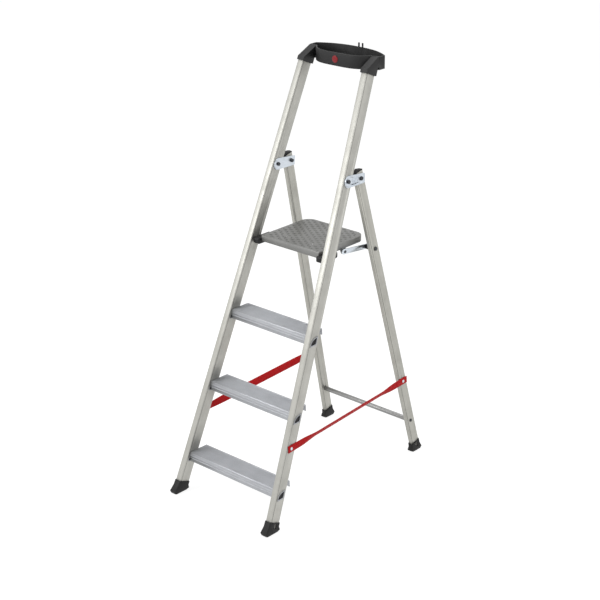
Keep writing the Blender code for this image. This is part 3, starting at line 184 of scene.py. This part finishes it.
def newMaterial(name):
    material = bpy.data.materials.new(name)
    material.use_nodes = True
    tree = material.node_tree
    shader = tree.nodes["Principled BSDF"]
    place = put(tree, "ShaderNodeTexCoord").outputs["Object"]
    return material, tree, shader, place


def mixColours(tree, mask, low, high):
    ramp = put(tree, "ShaderNodeMix", {0: mask}, data_type="RGBA")
    for socket, value in ((6, low), (7, high)):
        if isinstance(value, bpy.types.NodeSocket):
            tree.links.new(value, ramp.inputs[socket])
        else:
            ramp.inputs[socket].default_value = (*value, 1.0)
    return ramp.outputs[2]


def span(tree, value, low, high):
    return put(tree, "ShaderNodeMapRange", {"Value": value, "To Min": low, "To Max": high}).outputs[0]


def bump(tree, shader, height, distance, strength=0.6):
    node = put(tree, "ShaderNodeBump", {"Height": height, "Distance": distance, "Strength": strength})
    tree.links.new(node.outputs[0], shader.inputs["Normal"])


def brushedMetal(name, dark, light, rough, turn, metallic=1.0, fineness=900.0, stretch=0.012,
                 depth=0.00003, grip=False, grooveShadeDepth=None):
    material, tree, shader, place = newMaterial(name)     # turn leads the streaks away from Z
    turned = put(tree, "ShaderNodeMapping", {"Vector": place, "Rotation": turn})
    grain = put(tree, "ShaderNodeGroup", {"Vector": turned.outputs[0], "Fineness": fineness,
                                          "Stretch": stretch}, node_tree=brushedGrain)
    marks = put(tree, "ShaderNodeGroup", {"Vector": place}, node_tree=handlingMarks)
    streaked = mixColours(tree, grain.outputs["Grain"], dark, light)
    dulled = mixColours(tree, sums(tree, "MULTIPLY", marks.outputs["Marks"], 0.35), streaked,
                        tuple(0.86 * c for c in dark))
    colour = mixColours(tree, sums(tree, "MULTIPLY", marks.outputs["Scratches"], 0.6), dulled,
                        tuple(min(1.0, 1.15 * c) for c in light))
    if grooveShadeDepth is not None:     # a painted shade line in the groove, at this depth behind the front face
        level = put(tree, "ShaderNodeSeparateXYZ", {0: turned.outputs[0]}).outputs["Y"]
        line = sums(tree, "COMPARE", level, grooveShadeDepth, 0.0008)
        colour = mixColours(tree, sums(tree, "MULTIPLY", line, 0.8), colour, (0.10, 0.10, 0.09))
    if grip:
        raised = put(tree, "ShaderNodeAttribute", attribute_name="grip")     # 1 on the raised dashes, which are coloured dark as painted shade
        colour = mixColours(tree, raised.outputs["Fac"], colour, (0.085, 0.085, 0.08))
    tree.links.new(colour, shader.inputs["Base Color"])
    base = span(tree, grain.outputs["Grain"], rough[0], rough[1])
    worn = sums(tree, "MULTIPLY_ADD", marks.outputs["Marks"], 0.08, base)
    tree.links.new(worn, shader.inputs["Roughness"])
    shader.inputs["Metallic"].default_value = metallic
    bump(tree, shader, grain.outputs["Height"], depth)
    return material


def mouldedBlack(name, dark, light, rough, dust=0.0, grainScale=1400.0, depth=0.00006):
    material, tree, shader, place = newMaterial(name)
    shader.inputs["Specular IOR Level"].default_value = 0.35
    grain = put(tree, "ShaderNodeGroup", {"Vector": place, "Scale": grainScale}, node_tree=mouldGrain)
    colour = mixColours(tree, grain.outputs["Cloud"], dark, light)
    if dust:
        powder = put(tree, "ShaderNodeGroup", {"Vector": place}, node_tree=floorDust)
        colour = mixColours(tree, sums(tree, "MULTIPLY", powder.outputs["Dust"], dust), colour,
                            (0.30, 0.29, 0.27))
    tree.links.new(colour, shader.inputs["Base Color"])
    tree.links.new(span(tree, grain.outputs["Cloud"], rough[0], rough[1]), shader.inputs["Roughness"])
    bump(tree, shader, grain.outputs["Height"], depth, 0.45)
    return material


yarn = dict(width=0.00155, ribPitch=0.0011)


def wovenWebbing(name, dark, light):
    material, tree, shader, _ = newMaterial(name)     # a herringbone, from a UV map in metres
    chart = put(tree, "ShaderNodeUVMap", uv_map="webbing")
    axes = put(tree, "ShaderNodeSeparateXYZ", {0: chart.outputs[0]})
    folded = sums(tree, "PINGPONG", axes.outputs["X"], yarn["width"])
    slant = sums(tree, "ADD", folded, axes.outputs["Y"])
    ribs = sums(tree, "SINE", sums(tree, "MULTIPLY", slant, 2 * pi / yarn["ribPitch"]))
    yarns = sums(tree, "SINE", sums(tree, "MULTIPLY", axes.outputs["X"], 2 * pi / yarn["width"]))
    weave = sums(tree, "MULTIPLY_ADD", ribs, 0.35, sums(tree, "MULTIPLY_ADD", yarns, 0.15, 0.5))
    cloud = put(tree, "ShaderNodeTexNoise", {"Vector": chart.outputs[0], "Scale": 60.0, "Detail": 5.0})
    woven = mixColours(tree, weave, dark, light)
    colour = mixColours(tree, sums(tree, "MULTIPLY", cloud.outputs["Fac"], 0.35), woven,
                        tuple(0.7 * c for c in dark))
    tree.links.new(colour, shader.inputs["Base Color"])
    tree.links.new(span(tree, weave, 0.75, 0.55), shader.inputs["Roughness"])
    shader.inputs["Sheen Weight"].default_value = 0.05
    shader.inputs["Specular IOR Level"].default_value = 0.25
    bump(tree, shader, weave, 0.00025, 0.8)
    return material


def badgeRed(name):
    material, tree, shader, place = newMaterial(name)
    cloud = put(tree, "ShaderNodeTexNoise", {"Vector": place, "Scale": 260.0, "Detail": 3.0})
    tree.links.new(mixColours(tree, cloud.outputs["Fac"], (0.26, 0.004, 0.010), (0.36, 0.010, 0.018)),
                   shader.inputs["Base Color"])
    tree.links.new(span(tree, cloud.outputs["Fac"], 0.18, 0.34), shader.inputs["Roughness"])
    shader.inputs["Coat Weight"].default_value = 0.2
    shader.inputs["Specular IOR Level"].default_value = 0.3
    bump(tree, shader, cloud.outputs["Fac"], 0.00003, 0.3)
    return material


grooveSetback = 0.0054     # behind the stile's front face


def grooveDepth(node, tilt):     # on the axis square to the stile's front face
    turn = Matrix.Rotation(tilt, 3, "X")
    return min((turn @ v.co).y for v in frame["nodes"][node].data.vertices) + grooveSetback


finishes = dict(
    frontStile=brushedMetal("frontStileAluminium", (0.40, 0.395, 0.365), (0.56, 0.555, 0.52), (0.42, 0.56),
                            (lean["front"], 0.0, 0.0),
                            grooveShadeDepth=grooveDepth("front_stile_left", lean["front"])),
    rearStile=brushedMetal("rearStileAluminium", (0.38, 0.375, 0.34), (0.53, 0.525, 0.485), (0.40, 0.54),
                           (-lean["rear"], 0.0, 0.0),
                           grooveShadeDepth=grooveDepth("rear_stile_left", -lean["rear"])),
    tread=brushedMetal("treadAluminium", (0.36, 0.37, 0.39), (0.48, 0.49, 0.51), (0.36, 0.50),
                       (0.0, pi / 2, 0.0)),
    tube=brushedMetal("tubeAluminium", (0.25, 0.25, 0.25), (0.36, 0.36, 0.355), (0.34, 0.48),
                      (0.0, pi / 2, 0.0)),
    deck=brushedMetal("deckAluminium", (0.22, 0.22, 0.215), (0.31, 0.31, 0.30), (0.42, 0.56),
                      (0.0, pi / 2, 0.0), 0.85, grip=True),
    zinc=brushedMetal("brightZinc", (0.55, 0.60, 0.66), (0.74, 0.79, 0.84), (0.22, 0.36),
                      (0.3, 0.4, 0.0), 1.0, 500.0, 0.6, 0.00005),
    darkSteel=brushedMetal("blackZincSteel", (0.035, 0.038, 0.042), (0.10, 0.105, 0.115), (0.32, 0.50),
                           (0.2, 0.1, 0.0), 0.8, 600.0, 0.8, 0.00004),
    trayPlastic=mouldedBlack("trayPlastic", (0.012, 0.012, 0.0125), (0.021, 0.021, 0.0215), (0.46, 0.60)),
    capPlastic=mouldedBlack("capPlastic", (0.006, 0.006, 0.0065), (0.012, 0.012, 0.0125), (0.40, 0.55)),
    shoeRubber=mouldedBlack("shoeRubber", (0.002, 0.002, 0.002), (0.006, 0.006, 0.006), (0.50, 0.66), 0.04,
                            900.0, 0.0001),
    webbing=wovenWebbing("redWebbing", (0.50, 0.001, 0.003), (0.78, 0.003, 0.007)),
    badge=badgeRed("badgeRed"))
print("finishes made:", len(finishes))


def bodyOf(node):
    for body, members in frame["record"]["behaviour"]["bodies"].items():
        if node in members:
            return body


def cleanCopy(node, whole=False):
    mesh = frame["nodes"][node].data.copy()     # whole joins the triangles of each flat face
    shape = bmesh.new()
    shape.from_mesh(mesh)
    bmesh.ops.remove_doubles(shape, verts=shape.verts, dist=0.00002)
    if whole:
        bmesh.ops.dissolve_limit(shape, angle_limit=radians(0.05), verts=shape.verts, edges=shape.edges)
    shape.to_mesh(mesh)
    shape.free()
    mesh.materials.clear()
    return mesh


def plainObject(name, mesh):
    thing = bpy.data.objects.new(name, mesh)
    scene.collection.objects.link(thing)
    return thing


def baked(thing):
    name = thing.name     # the same thing with its modifiers applied
    mesh = bpy.data.meshes.new_from_object(thing.evaluated_get(bpy.context.evaluated_depsgraph_get()))
    bpy.data.objects.remove(thing)
    mesh.name = name
    return plainObject(name, mesh)


def bevelled(thing, width, segments=2, angle=38.0, clamp=False):
    thing.data.shade_smooth()
    soften = thing.modifiers.new("soften", "BEVEL")
    soften.width = width
    soften.segments = segments
    soften.limit_method = "ANGLE"
    soften.angle_limit = radians(angle)
    soften.use_clamp_overlap = clamp
    soften.miter_outer = "MITER_ARC"
    soften.harden_normals = True
    return baked(thing)


def fit(thing, nodes, finish):
    thing.data.materials.clear()
    thing.data.materials.append(finishes[finish])
    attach(thing, bodyOf(nodes[0]))
    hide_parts(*nodes)
    return thing


def softened(node, width, finish, segments=2, angle=38.0, whole=False):     # width of the bevel
    name = "".join(word if i == 0 else word.capitalize() for i, word in enumerate(node.split("_")))
    shell = plainObject(name, cleanCopy(node, whole))
    return fit(bevelled(shell, width, segments, angle, whole), [node], finish)


for sideName in sides:
    softened(f"front_stile_{sideName}", 0.00035, "frontStile")
    softened(f"rear_stile_{sideName}", 0.0003, "rearStile")
    softened(f"rear_stile_cap_{sideName}", 0.0008, "capPlastic")
    softened(f"front_shoe_{sideName}", 0.0006, "shoeRubber", 2, 50.0)
    softened(f"rear_shoe_{sideName}", 0.0006, "shoeRubber", 2, 50.0)
    softened(f"hinge_plate_outer_{sideName}", 0.0004, "zinc")
    softened(f"hinge_plate_inner_{sideName}", 0.0003, "zinc")
    softened(f"platform_bush_{sideName}", 0.0008, "capPlastic")
    softened(f"platform_strut_{sideName}", 0.0005, "zinc")
    softened(f"strut_bracket_{sideName}", 0.0006, "capPlastic")
    for name in ("hinge_fixed_bolt", "hinge_pivot_bolt", "strut_bolt", "strut_rivet", "cross_tube_bolt",
                 "platform_pivot"):
        softened(f"{name}_{sideName}", 0.0003, "darkSteel")
    for name in ("strap_front_rivet", "strap_rear_rivet"):
        softened(f"{name}_{sideName}", 0.0002, "zinc")
    softened(f"hinge_spacer_{sideName}", 0.0003, "capPlastic")
softened("rear_cross_tube", 0.0003, "tube")
softened("tray_badge", 0.0002, "badge")
for level in ("lower", "middle", "upper"):
    for sideName in sides:
        softened(f"{level}_tread_tube_{sideName}", 0.0002, "tread")
        softened(f"{level}_tread_plug_{sideName}", 0.0006, "capPlastic")
print("metal and plastic parts softened")


def runTree(tree, thing, values):
    modifier = thing.modifiers.new(tree.name, "NODES")
    modifier.node_group = tree
    for item in tree.interface.items_tree:
        if item.in_out == "INPUT" and item.name in values:
            modifier[item.identifier] = values[item.name]
    thing.update_tag()
    return baked(thing)


def finishTree(tree, out, geometry, finish):
    real = put(tree, "GeometryNodeRealizeInstances", {0: geometry})
    coated = put(tree, "GeometryNodeSetMaterial", {0: real.outputs[0], "Material": finishes[finish]})
    tree.links.new(coated.outputs[0], out.inputs[0])


dash = dict(length=0.0105, width=0.0024, height=0.0008, rowPitch=0.0118, dashPitch=0.0172, columns=17,
            rows=21, margin=0.011, rearCorner=0.034, slotX=0.058, slotY=-0.070, slotHalfLength=0.0155,
            slotHalfWidth=0.0075, panBevel=0.0007)


def buildDashRows():     # staggered raised dashes inside a rounded plan
    tree, given, out = newGroup("dashRows", "GeometryNodeTree",
                                [("Geometry", "NodeSocketGeometry", None),
                                 ("Centre", "NodeSocketVector", None),
                                 ("Half Width", "NodeSocketFloat", 0.1),
                                 ("Half Depth", "NodeSocketFloat", 0.1),
                                 ("Corner", "NodeSocketFloat", 0.03),
                                 ("Row Pitch", "NodeSocketFloat", 0.012),
                                 ("Dash Pitch", "NodeSocketFloat", 0.017),
                                 ("Length", "NodeSocketFloat", 0.01),
                                 ("Width", "NodeSocketFloat", 0.002),
                                 ("Height", "NodeSocketFloat", 0.001)],
                                [("Geometry", "NodeSocketGeometry")])
    wide = sums(tree, "MULTIPLY", given.outputs["Dash Pitch"], dash["columns"] - 1.0)
    deep = sums(tree, "MULTIPLY", given.outputs["Row Pitch"], dash["rows"] - 1.0)
    grid = put(tree, "GeometryNodeMeshGrid", {"Size X": wide, "Size Y": deep, "Vertices X": dash["columns"],
                                              "Vertices Y": dash["rows"]})
    index = put(tree, "GeometryNodeInputIndex").outputs[0]
    odd = sums(tree, "MODULO", index, 2.0)     # the grid counts up along Y first
    shift = sums(tree, "MULTIPLY", odd, sums(tree, "MULTIPLY", given.outputs["Dash Pitch"], 0.5))
    offset = put(tree, "ShaderNodeCombineXYZ", {0: shift})
    staggered = put(tree, "GeometryNodeSetPosition", {0: grid.outputs["Mesh"], "Offset": offset.outputs[0]})
    place = put(tree, "ShaderNodeSeparateXYZ", {0: put(tree, "GeometryNodeInputPosition").outputs[0]})
    overX = sums(tree, "MAXIMUM", sums(tree, "SUBTRACT", sums(tree, "ABSOLUTE", place.outputs["X"]),
                                       sums(tree, "SUBTRACT", given.outputs["Half Width"],
                                            given.outputs["Corner"])), 0.0)
    overY = sums(tree, "MAXIMUM", sums(tree, "SUBTRACT", place.outputs["Y"],
                                       sums(tree, "SUBTRACT", given.outputs["Half Depth"],
                                            given.outputs["Corner"])), 0.0)
    reach = put(tree, "ShaderNodeCombineXYZ", {0: overX, 1: overY})
    past = put(tree, "ShaderNodeVectorMath", {0: reach.outputs[0]}, operation="LENGTH").outputs["Value"]
    outside = sums(tree, "GREATER_THAN", past, given.outputs["Corner"])
    frontEdge = sums(tree, "MULTIPLY", given.outputs["Half Depth"], -1.0)
    tooFar = sums(tree, "LESS_THAN", place.outputs["Y"], frontEdge)
    acrossX = sums(tree, "ABSOLUTE", place.outputs["X"])
    slotX = sums(tree, "COMPARE", acrossX, dash["slotX"], dash["slotHalfLength"])
    slotY = sums(tree, "COMPARE", place.outputs["Y"], dash["slotY"], dash["slotHalfWidth"])
    inSlot = sums(tree, "MULTIPLY", slotX, slotY)
    gone = sums(tree, "MAXIMUM", sums(tree, "MAXIMUM", outside, tooFar), inSlot)
    kept = put(tree, "GeometryNodeDeleteGeometry", {0: staggered.outputs[0], "Selection": gone},
               domain="POINT")
    bead = put(tree, "GeometryNodeMeshUVSphere", {"Segments": 12, "Rings": 6, "Radius": 0.5})
    size = put(tree, "ShaderNodeCombineXYZ", {0: given.outputs["Length"], 1: given.outputs["Width"],
                                              2: sums(tree, "MULTIPLY", given.outputs["Height"], 2.0)})
    flat = put(tree, "GeometryNodeTransform", {"Geometry": bead.outputs["Mesh"], "Scale": size.outputs[0]})
    smooth = put(tree, "GeometryNodeSetShadeSmooth", {0: flat.outputs[0]})
    # marks the dashes for their painted shade colour in the deck finish
    marked = put(tree, "GeometryNodeStoreNamedAttribute", {"Geometry": smooth.outputs[0], "Name": "grip",
                                                           "Value": 1.0})
    beads = put(tree, "GeometryNodeInstanceOnPoints", {"Points": kept.outputs[0],
                                                       "Instance": marked.outputs[0]})
    placed = put(tree, "GeometryNodeTransform", {"Geometry": beads.outputs[0],
                                                 "Translation": given.outputs["Centre"]})
    joined = tree.nodes.new("GeometryNodeJoinGeometry")
    tree.links.new(placed.outputs[0], joined.inputs[0])
    tree.links.new(given.outputs["Geometry"], joined.inputs[0])
    finishTree(tree, out, joined.outputs[0], "deck")
    return tree


def makePlatform():
    low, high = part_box("platform")
    pan = bevelled(plainObject("platformPan", cleanCopy("platform")), dash["panBevel"])
    halfWidth = (high.x - low.x) / 2
    halfDepth = (high.y - low.y) / 2
    values = {"Centre": (0.0, (low.y + high.y) / 2, high.z), "Half Width": halfWidth - dash["margin"],
              "Half Depth": halfDepth - dash["margin"], "Corner": dash["rearCorner"] - dash["margin"] / 2,
              "Row Pitch": dash["rowPitch"], "Dash Pitch": dash["dashPitch"], "Length": dash["length"],
              "Width": dash["width"], "Height": dash["height"]}
    fit(runTree(buildDashRows(), pan, values), ["platform"], "deck")


makePlatform()
print("platform made")


rib = dict(pitch=0.0026, width=0.0009, height=0.0005, edge=0.006, sunk=0.0002, endGap=0.0012,
           shrink=0.019, topSlice=0.001, treadBevel=0.00035)


def buildTreadRibs():     # beads along X, each as long as the tread is wide there
    tree, given, out = newGroup("treadRibs", "GeometryNodeTree",
                                [("Geometry", "NodeSocketGeometry", None),
                                 ("Start", "NodeSocketVector", None),
                                 ("Half Length", "NodeSocketFloat", 0.2),
                                 ("Shrink", "NodeSocketFloat", 0.02),
                                 ("Count", "NodeSocketInt", 20),
                                 ("Pitch", "NodeSocketFloat", 0.003),
                                 ("Width", "NodeSocketFloat", 0.001),
                                 ("Height", "NodeSocketFloat", 0.0005)],
                                [("Geometry", "NodeSocketGeometry")])
    step = put(tree, "ShaderNodeCombineXYZ", {1: given.outputs["Pitch"]})
    line = put(tree, "GeometryNodeMeshLine", {"Count": given.outputs["Count"],
                                              "Start Location": given.outputs["Start"],
                                              "Offset": step.outputs[0]})
    bead = put(tree, "GeometryNodeMeshCylinder", {"Vertices": 8, "Radius": 0.5, "Depth": 2.0})
    lying = put(tree, "GeometryNodeTransform", {"Geometry": bead.outputs["Mesh"],
                                                "Rotation": (0.0, pi / 2, 0.0)})
    index = put(tree, "GeometryNodeInputIndex").outputs[0]
    back = sums(tree, "MULTIPLY", index, given.outputs["Pitch"])
    lost = sums(tree, "MULTIPLY", back, given.outputs["Shrink"])
    length = sums(tree, "SUBTRACT", given.outputs["Half Length"], lost)
    size = put(tree, "ShaderNodeCombineXYZ", {0: length, 1: given.outputs["Width"],
                                              2: sums(tree, "MULTIPLY", given.outputs["Height"], 2.0)})
    beads = put(tree, "GeometryNodeInstanceOnPoints", {"Points": line.outputs[0],
                                                       "Instance": lying.outputs[0],
                                                       "Scale": size.outputs[0]})
    joined = tree.nodes.new("GeometryNodeJoinGeometry")
    tree.links.new(beads.outputs[0], joined.inputs[0])
    tree.links.new(given.outputs["Geometry"], joined.inputs[0])
    finishTree(tree, out, joined.outputs[0], "tread")
    return tree


treadRibs = buildTreadRibs()
for level in ("lower", "middle", "upper"):
    low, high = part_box(f"{level}_tread")
    body = bevelled(plainObject(f"{level}Tread", cleanCopy(f"{level}_tread")), rib["treadBevel"])
    points = [v.co for v in frame["nodes"][f"{level}_tread"].data.vertices]
    reach = max(point.x for point in points if point.z > high.z - rib["topSlice"])
    count = int((high.y - low.y - 2 * rib["edge"]) / rib["pitch"])
    values = {"Start": (0.0, low.y + rib["edge"], high.z - rib["sunk"]),
              "Half Length": reach - rib["endGap"], "Shrink": rib["shrink"], "Count": count,
              "Pitch": rib["pitch"], "Width": rib["width"], "Height": rib["height"]}
    fit(runTree(treadRibs, body, values), [f"{level}_tread"], "tread")
print("treads made")


webbing = dict(sections=150, turn=0.5, leastHalfWidth=0.012, ringStep=0.0002, edgeSteps=3, crease=50.0)


def strapStations(node):     # middle, half width and half thickness along the strap
    points = [v.co.copy() for v in cleanCopy(node).vertices]
    sideName = node.split("_")[-1]
    ends = [sum(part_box(f"strap_{end}_rivet_{sideName}"), Vector()) / 2 for end in ("front", "rear")]
    run = (ends[1] - ends[0]).normalized()
    rings = {}
    for point in points:
        rings.setdefault(round((point - ends[0]).dot(run) / webbing["ringStep"]), []).append(point)
    stations = []
    for reach in sorted(rings):
        ring = rings[reach]
        middle = sum(ring, Vector()) / len(ring)
        far = max(ring, key=lambda p: (p - middle).length)
        if len(ring) != 4 or (far - middle).length < webbing["leastHalfWidth"]:     # the rivet hole's rings
            continue
        near = min((p for p in ring if p is not far), key=lambda p: (p - far).length)
        wide = (far + near) / 2 - middle
        thick = (far - near) / 2
        if stations and wide.dot(stations[-1][1]) < 0.0:
            wide = -wide
        if stations and thick.dot(stations[-1][2]) < 0.0:
            thick = -thick
        stations.append((middle, wide, thick))
    return stations


def makeStrap(sideName):
    stations = strapStations(f"strap_{sideName}")
    shape = bmesh.new()
    chart = shape.loops.layers.uv.new("webbing")
    travelled = [0.0]
    for near, far in zip(stations, stations[1:]):
        travelled.append(travelled[-1] + (far[0] - near[0]).length)
    rings = []
    for i in range(webbing["sections"] + 1):
        reach = travelled[-1] * i / webbing["sections"]
        k = min(max(j for j, t in enumerate(travelled) if t <= reach + 1e-9), len(stations) - 2)
        t = (reach - travelled[k]) / (travelled[k + 1] - travelled[k])
        middle, wide, thick = (stations[k][part].lerp(stations[k + 1][part], t) for part in range(3))
        flat = stations[0 if 2 * i < webbing["sections"] else -1]
        wide = flat[1].lerp(wide, webbing["turn"])     # soft webbing turns less than the CAD's stiff strap
        thick = flat[2].lerp(thick, webbing["turn"])
        halfWidth, halfThick = stations[0][1].length, stations[0][2].length
        wide, thick = wide.normalized(), thick.normalized()
        outline = []
        for step in range(webbing["edgeSteps"] + 1):
            a = -pi / 2 + pi * step / webbing["edgeSteps"]
            outline.append((halfWidth - halfThick + halfThick * cos(a), halfThick * sin(a)))
        outline += [(-x, y) for x, y in reversed(outline)]
        rings.append((reach, [(shape.verts.new(middle + wide * x + thick * y), x) for x, y in outline]))
    for (nearReach, near), (farReach, far) in zip(rings, rings[1:]):
        for i in range(len(near)):
            j = (i + 1) % len(near)
            face = shape.faces.new((near[i][0], near[j][0], far[j][0], far[i][0]))
            for loop, (x, y) in zip(face.loops, ((near[i][1], nearReach), (near[j][1], nearReach),
                                                 (far[j][1], farReach), (far[i][1], farReach))):
                loop[chart].uv = (x, y)
    for reach, ring in (rings[0], rings[-1]):
        face = shape.faces.new([vertex for vertex, _ in ring])
        for loop, (_, x) in zip(face.loops, ring):
            loop[chart].uv = (x, reach)
    bmesh.ops.recalc_face_normals(shape, faces=shape.faces)
    mesh = bpy.data.meshes.new("strap")
    shape.to_mesh(mesh)
    shape.free()
    mesh.shade_smooth()
    mesh.set_sharp_from_angle(angle=radians(webbing["crease"]))
    return plainObject(f"strap{sideName.capitalize()}", mesh), [station[0] for station in stations]


for sideName in sides:
    strap, line = makeStrap(sideName)
    strap.data.materials.append(finishes["webbing"])
    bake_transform(strap)
    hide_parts(f"strap_{sideName}")
print("straps made")

softened("top_tray", 0.0009, "trayPlastic", 3, 38.0, True)
print("tray made")


studio = dict(floor=(0.62, 0.62, 0.62), halfFloor=9, floorRough=0.9, floorGlow=1.72, glowShare=0.5,
              world=0.42)
lamps = dict(keySoftbox=dict(place=(-2.2, -3.6, 3.0), aim=(0.0, 0.0, 0.7), size=(2.4, 2.0), power=84.0),
             fillSoftbox=dict(place=(3.8, 0.2, 1.8), aim=(0.0, 0.0, 0.7), size=(2.2, 2.2), power=24.0),
             topSoftbox=dict(place=(0.0, 0.4, 4.2), aim=(0.0, 0.0, 0.0), size=(2.6, 2.6), power=40.0))


def makeStage():
    mesh = bpy.data.meshes.new("studioFloor")
    half = studio["halfFloor"]
    corners = [(-half, -half, 0), (half, -half, 0), (half, half, 0), (-half, half, 0)]
    mesh.from_pydata(corners, [], [(0, 1, 2, 3)])
    floor = plainObject("studioFloor", mesh)
    material, tree, shader, _ = newMaterial("studioFloor")
    shader.inputs["Base Color"].default_value = (*studio["floor"], 1.0)
    shader.inputs["Roughness"].default_value = studio["floorRough"]
    glow = put(tree, "ShaderNodeEmission", {"Strength": studio["floorGlow"]})
    ray = put(tree, "ShaderNodeLightPath")
    seen = sums(tree, "MAXIMUM", ray.outputs["Is Camera Ray"],
                sums(tree, "MAXIMUM", ray.outputs["Is Glossy Ray"], ray.outputs["Is Transmission Ray"]))
    share = sums(tree, "MULTIPLY", seen, studio["glowShare"])
    blend = put(tree, "ShaderNodeMixShader", {0: share, 1: shader.outputs[0], 2: glow.outputs[0]})
    tree.links.new(blend.outputs[0], tree.nodes["Material Output"].inputs["Surface"])
    mesh.materials.append(material)


def makeWorld():
    world = bpy.data.worlds.new("studioWorld")
    scene.world = world
    world.use_nodes = True
    tree = world.node_tree
    ground = tree.nodes["Background"]
    ray = put(tree, "ShaderNodeLightPath")
    seen = sums(tree, "MAXIMUM", ray.outputs["Is Camera Ray"],
                sums(tree, "MAXIMUM", ray.outputs["Is Glossy Ray"], ray.outputs["Is Transmission Ray"]))
    ground.inputs["Color"].default_value = (1.0, 1.0, 1.0, 1.0)
    tree.links.new(put(tree, "ShaderNodeMapRange", {"Value": seen, "To Min": studio["world"],
                                                    "To Max": 1.0}).outputs[0], ground.inputs["Strength"])


def makeLamp(name, place, aim, size, power):
    data = bpy.data.lights.new(name, "AREA")
    data.shape = "RECTANGLE"
    data.size, data.size_y = size
    data.energy = power
    lamp = bpy.data.objects.new(name, data)
    scene.collection.objects.link(lamp)
    lamp.location = place
    lamp.rotation_mode = "QUATERNION"
    lamp.rotation_quaternion = (Vector(aim) - Vector(place)).to_track_quat("-Z", "Y")


makeStage()
makeWorld()
for name, lamp in lamps.items():
    makeLamp(name, **lamp)
print("stage and lights made")
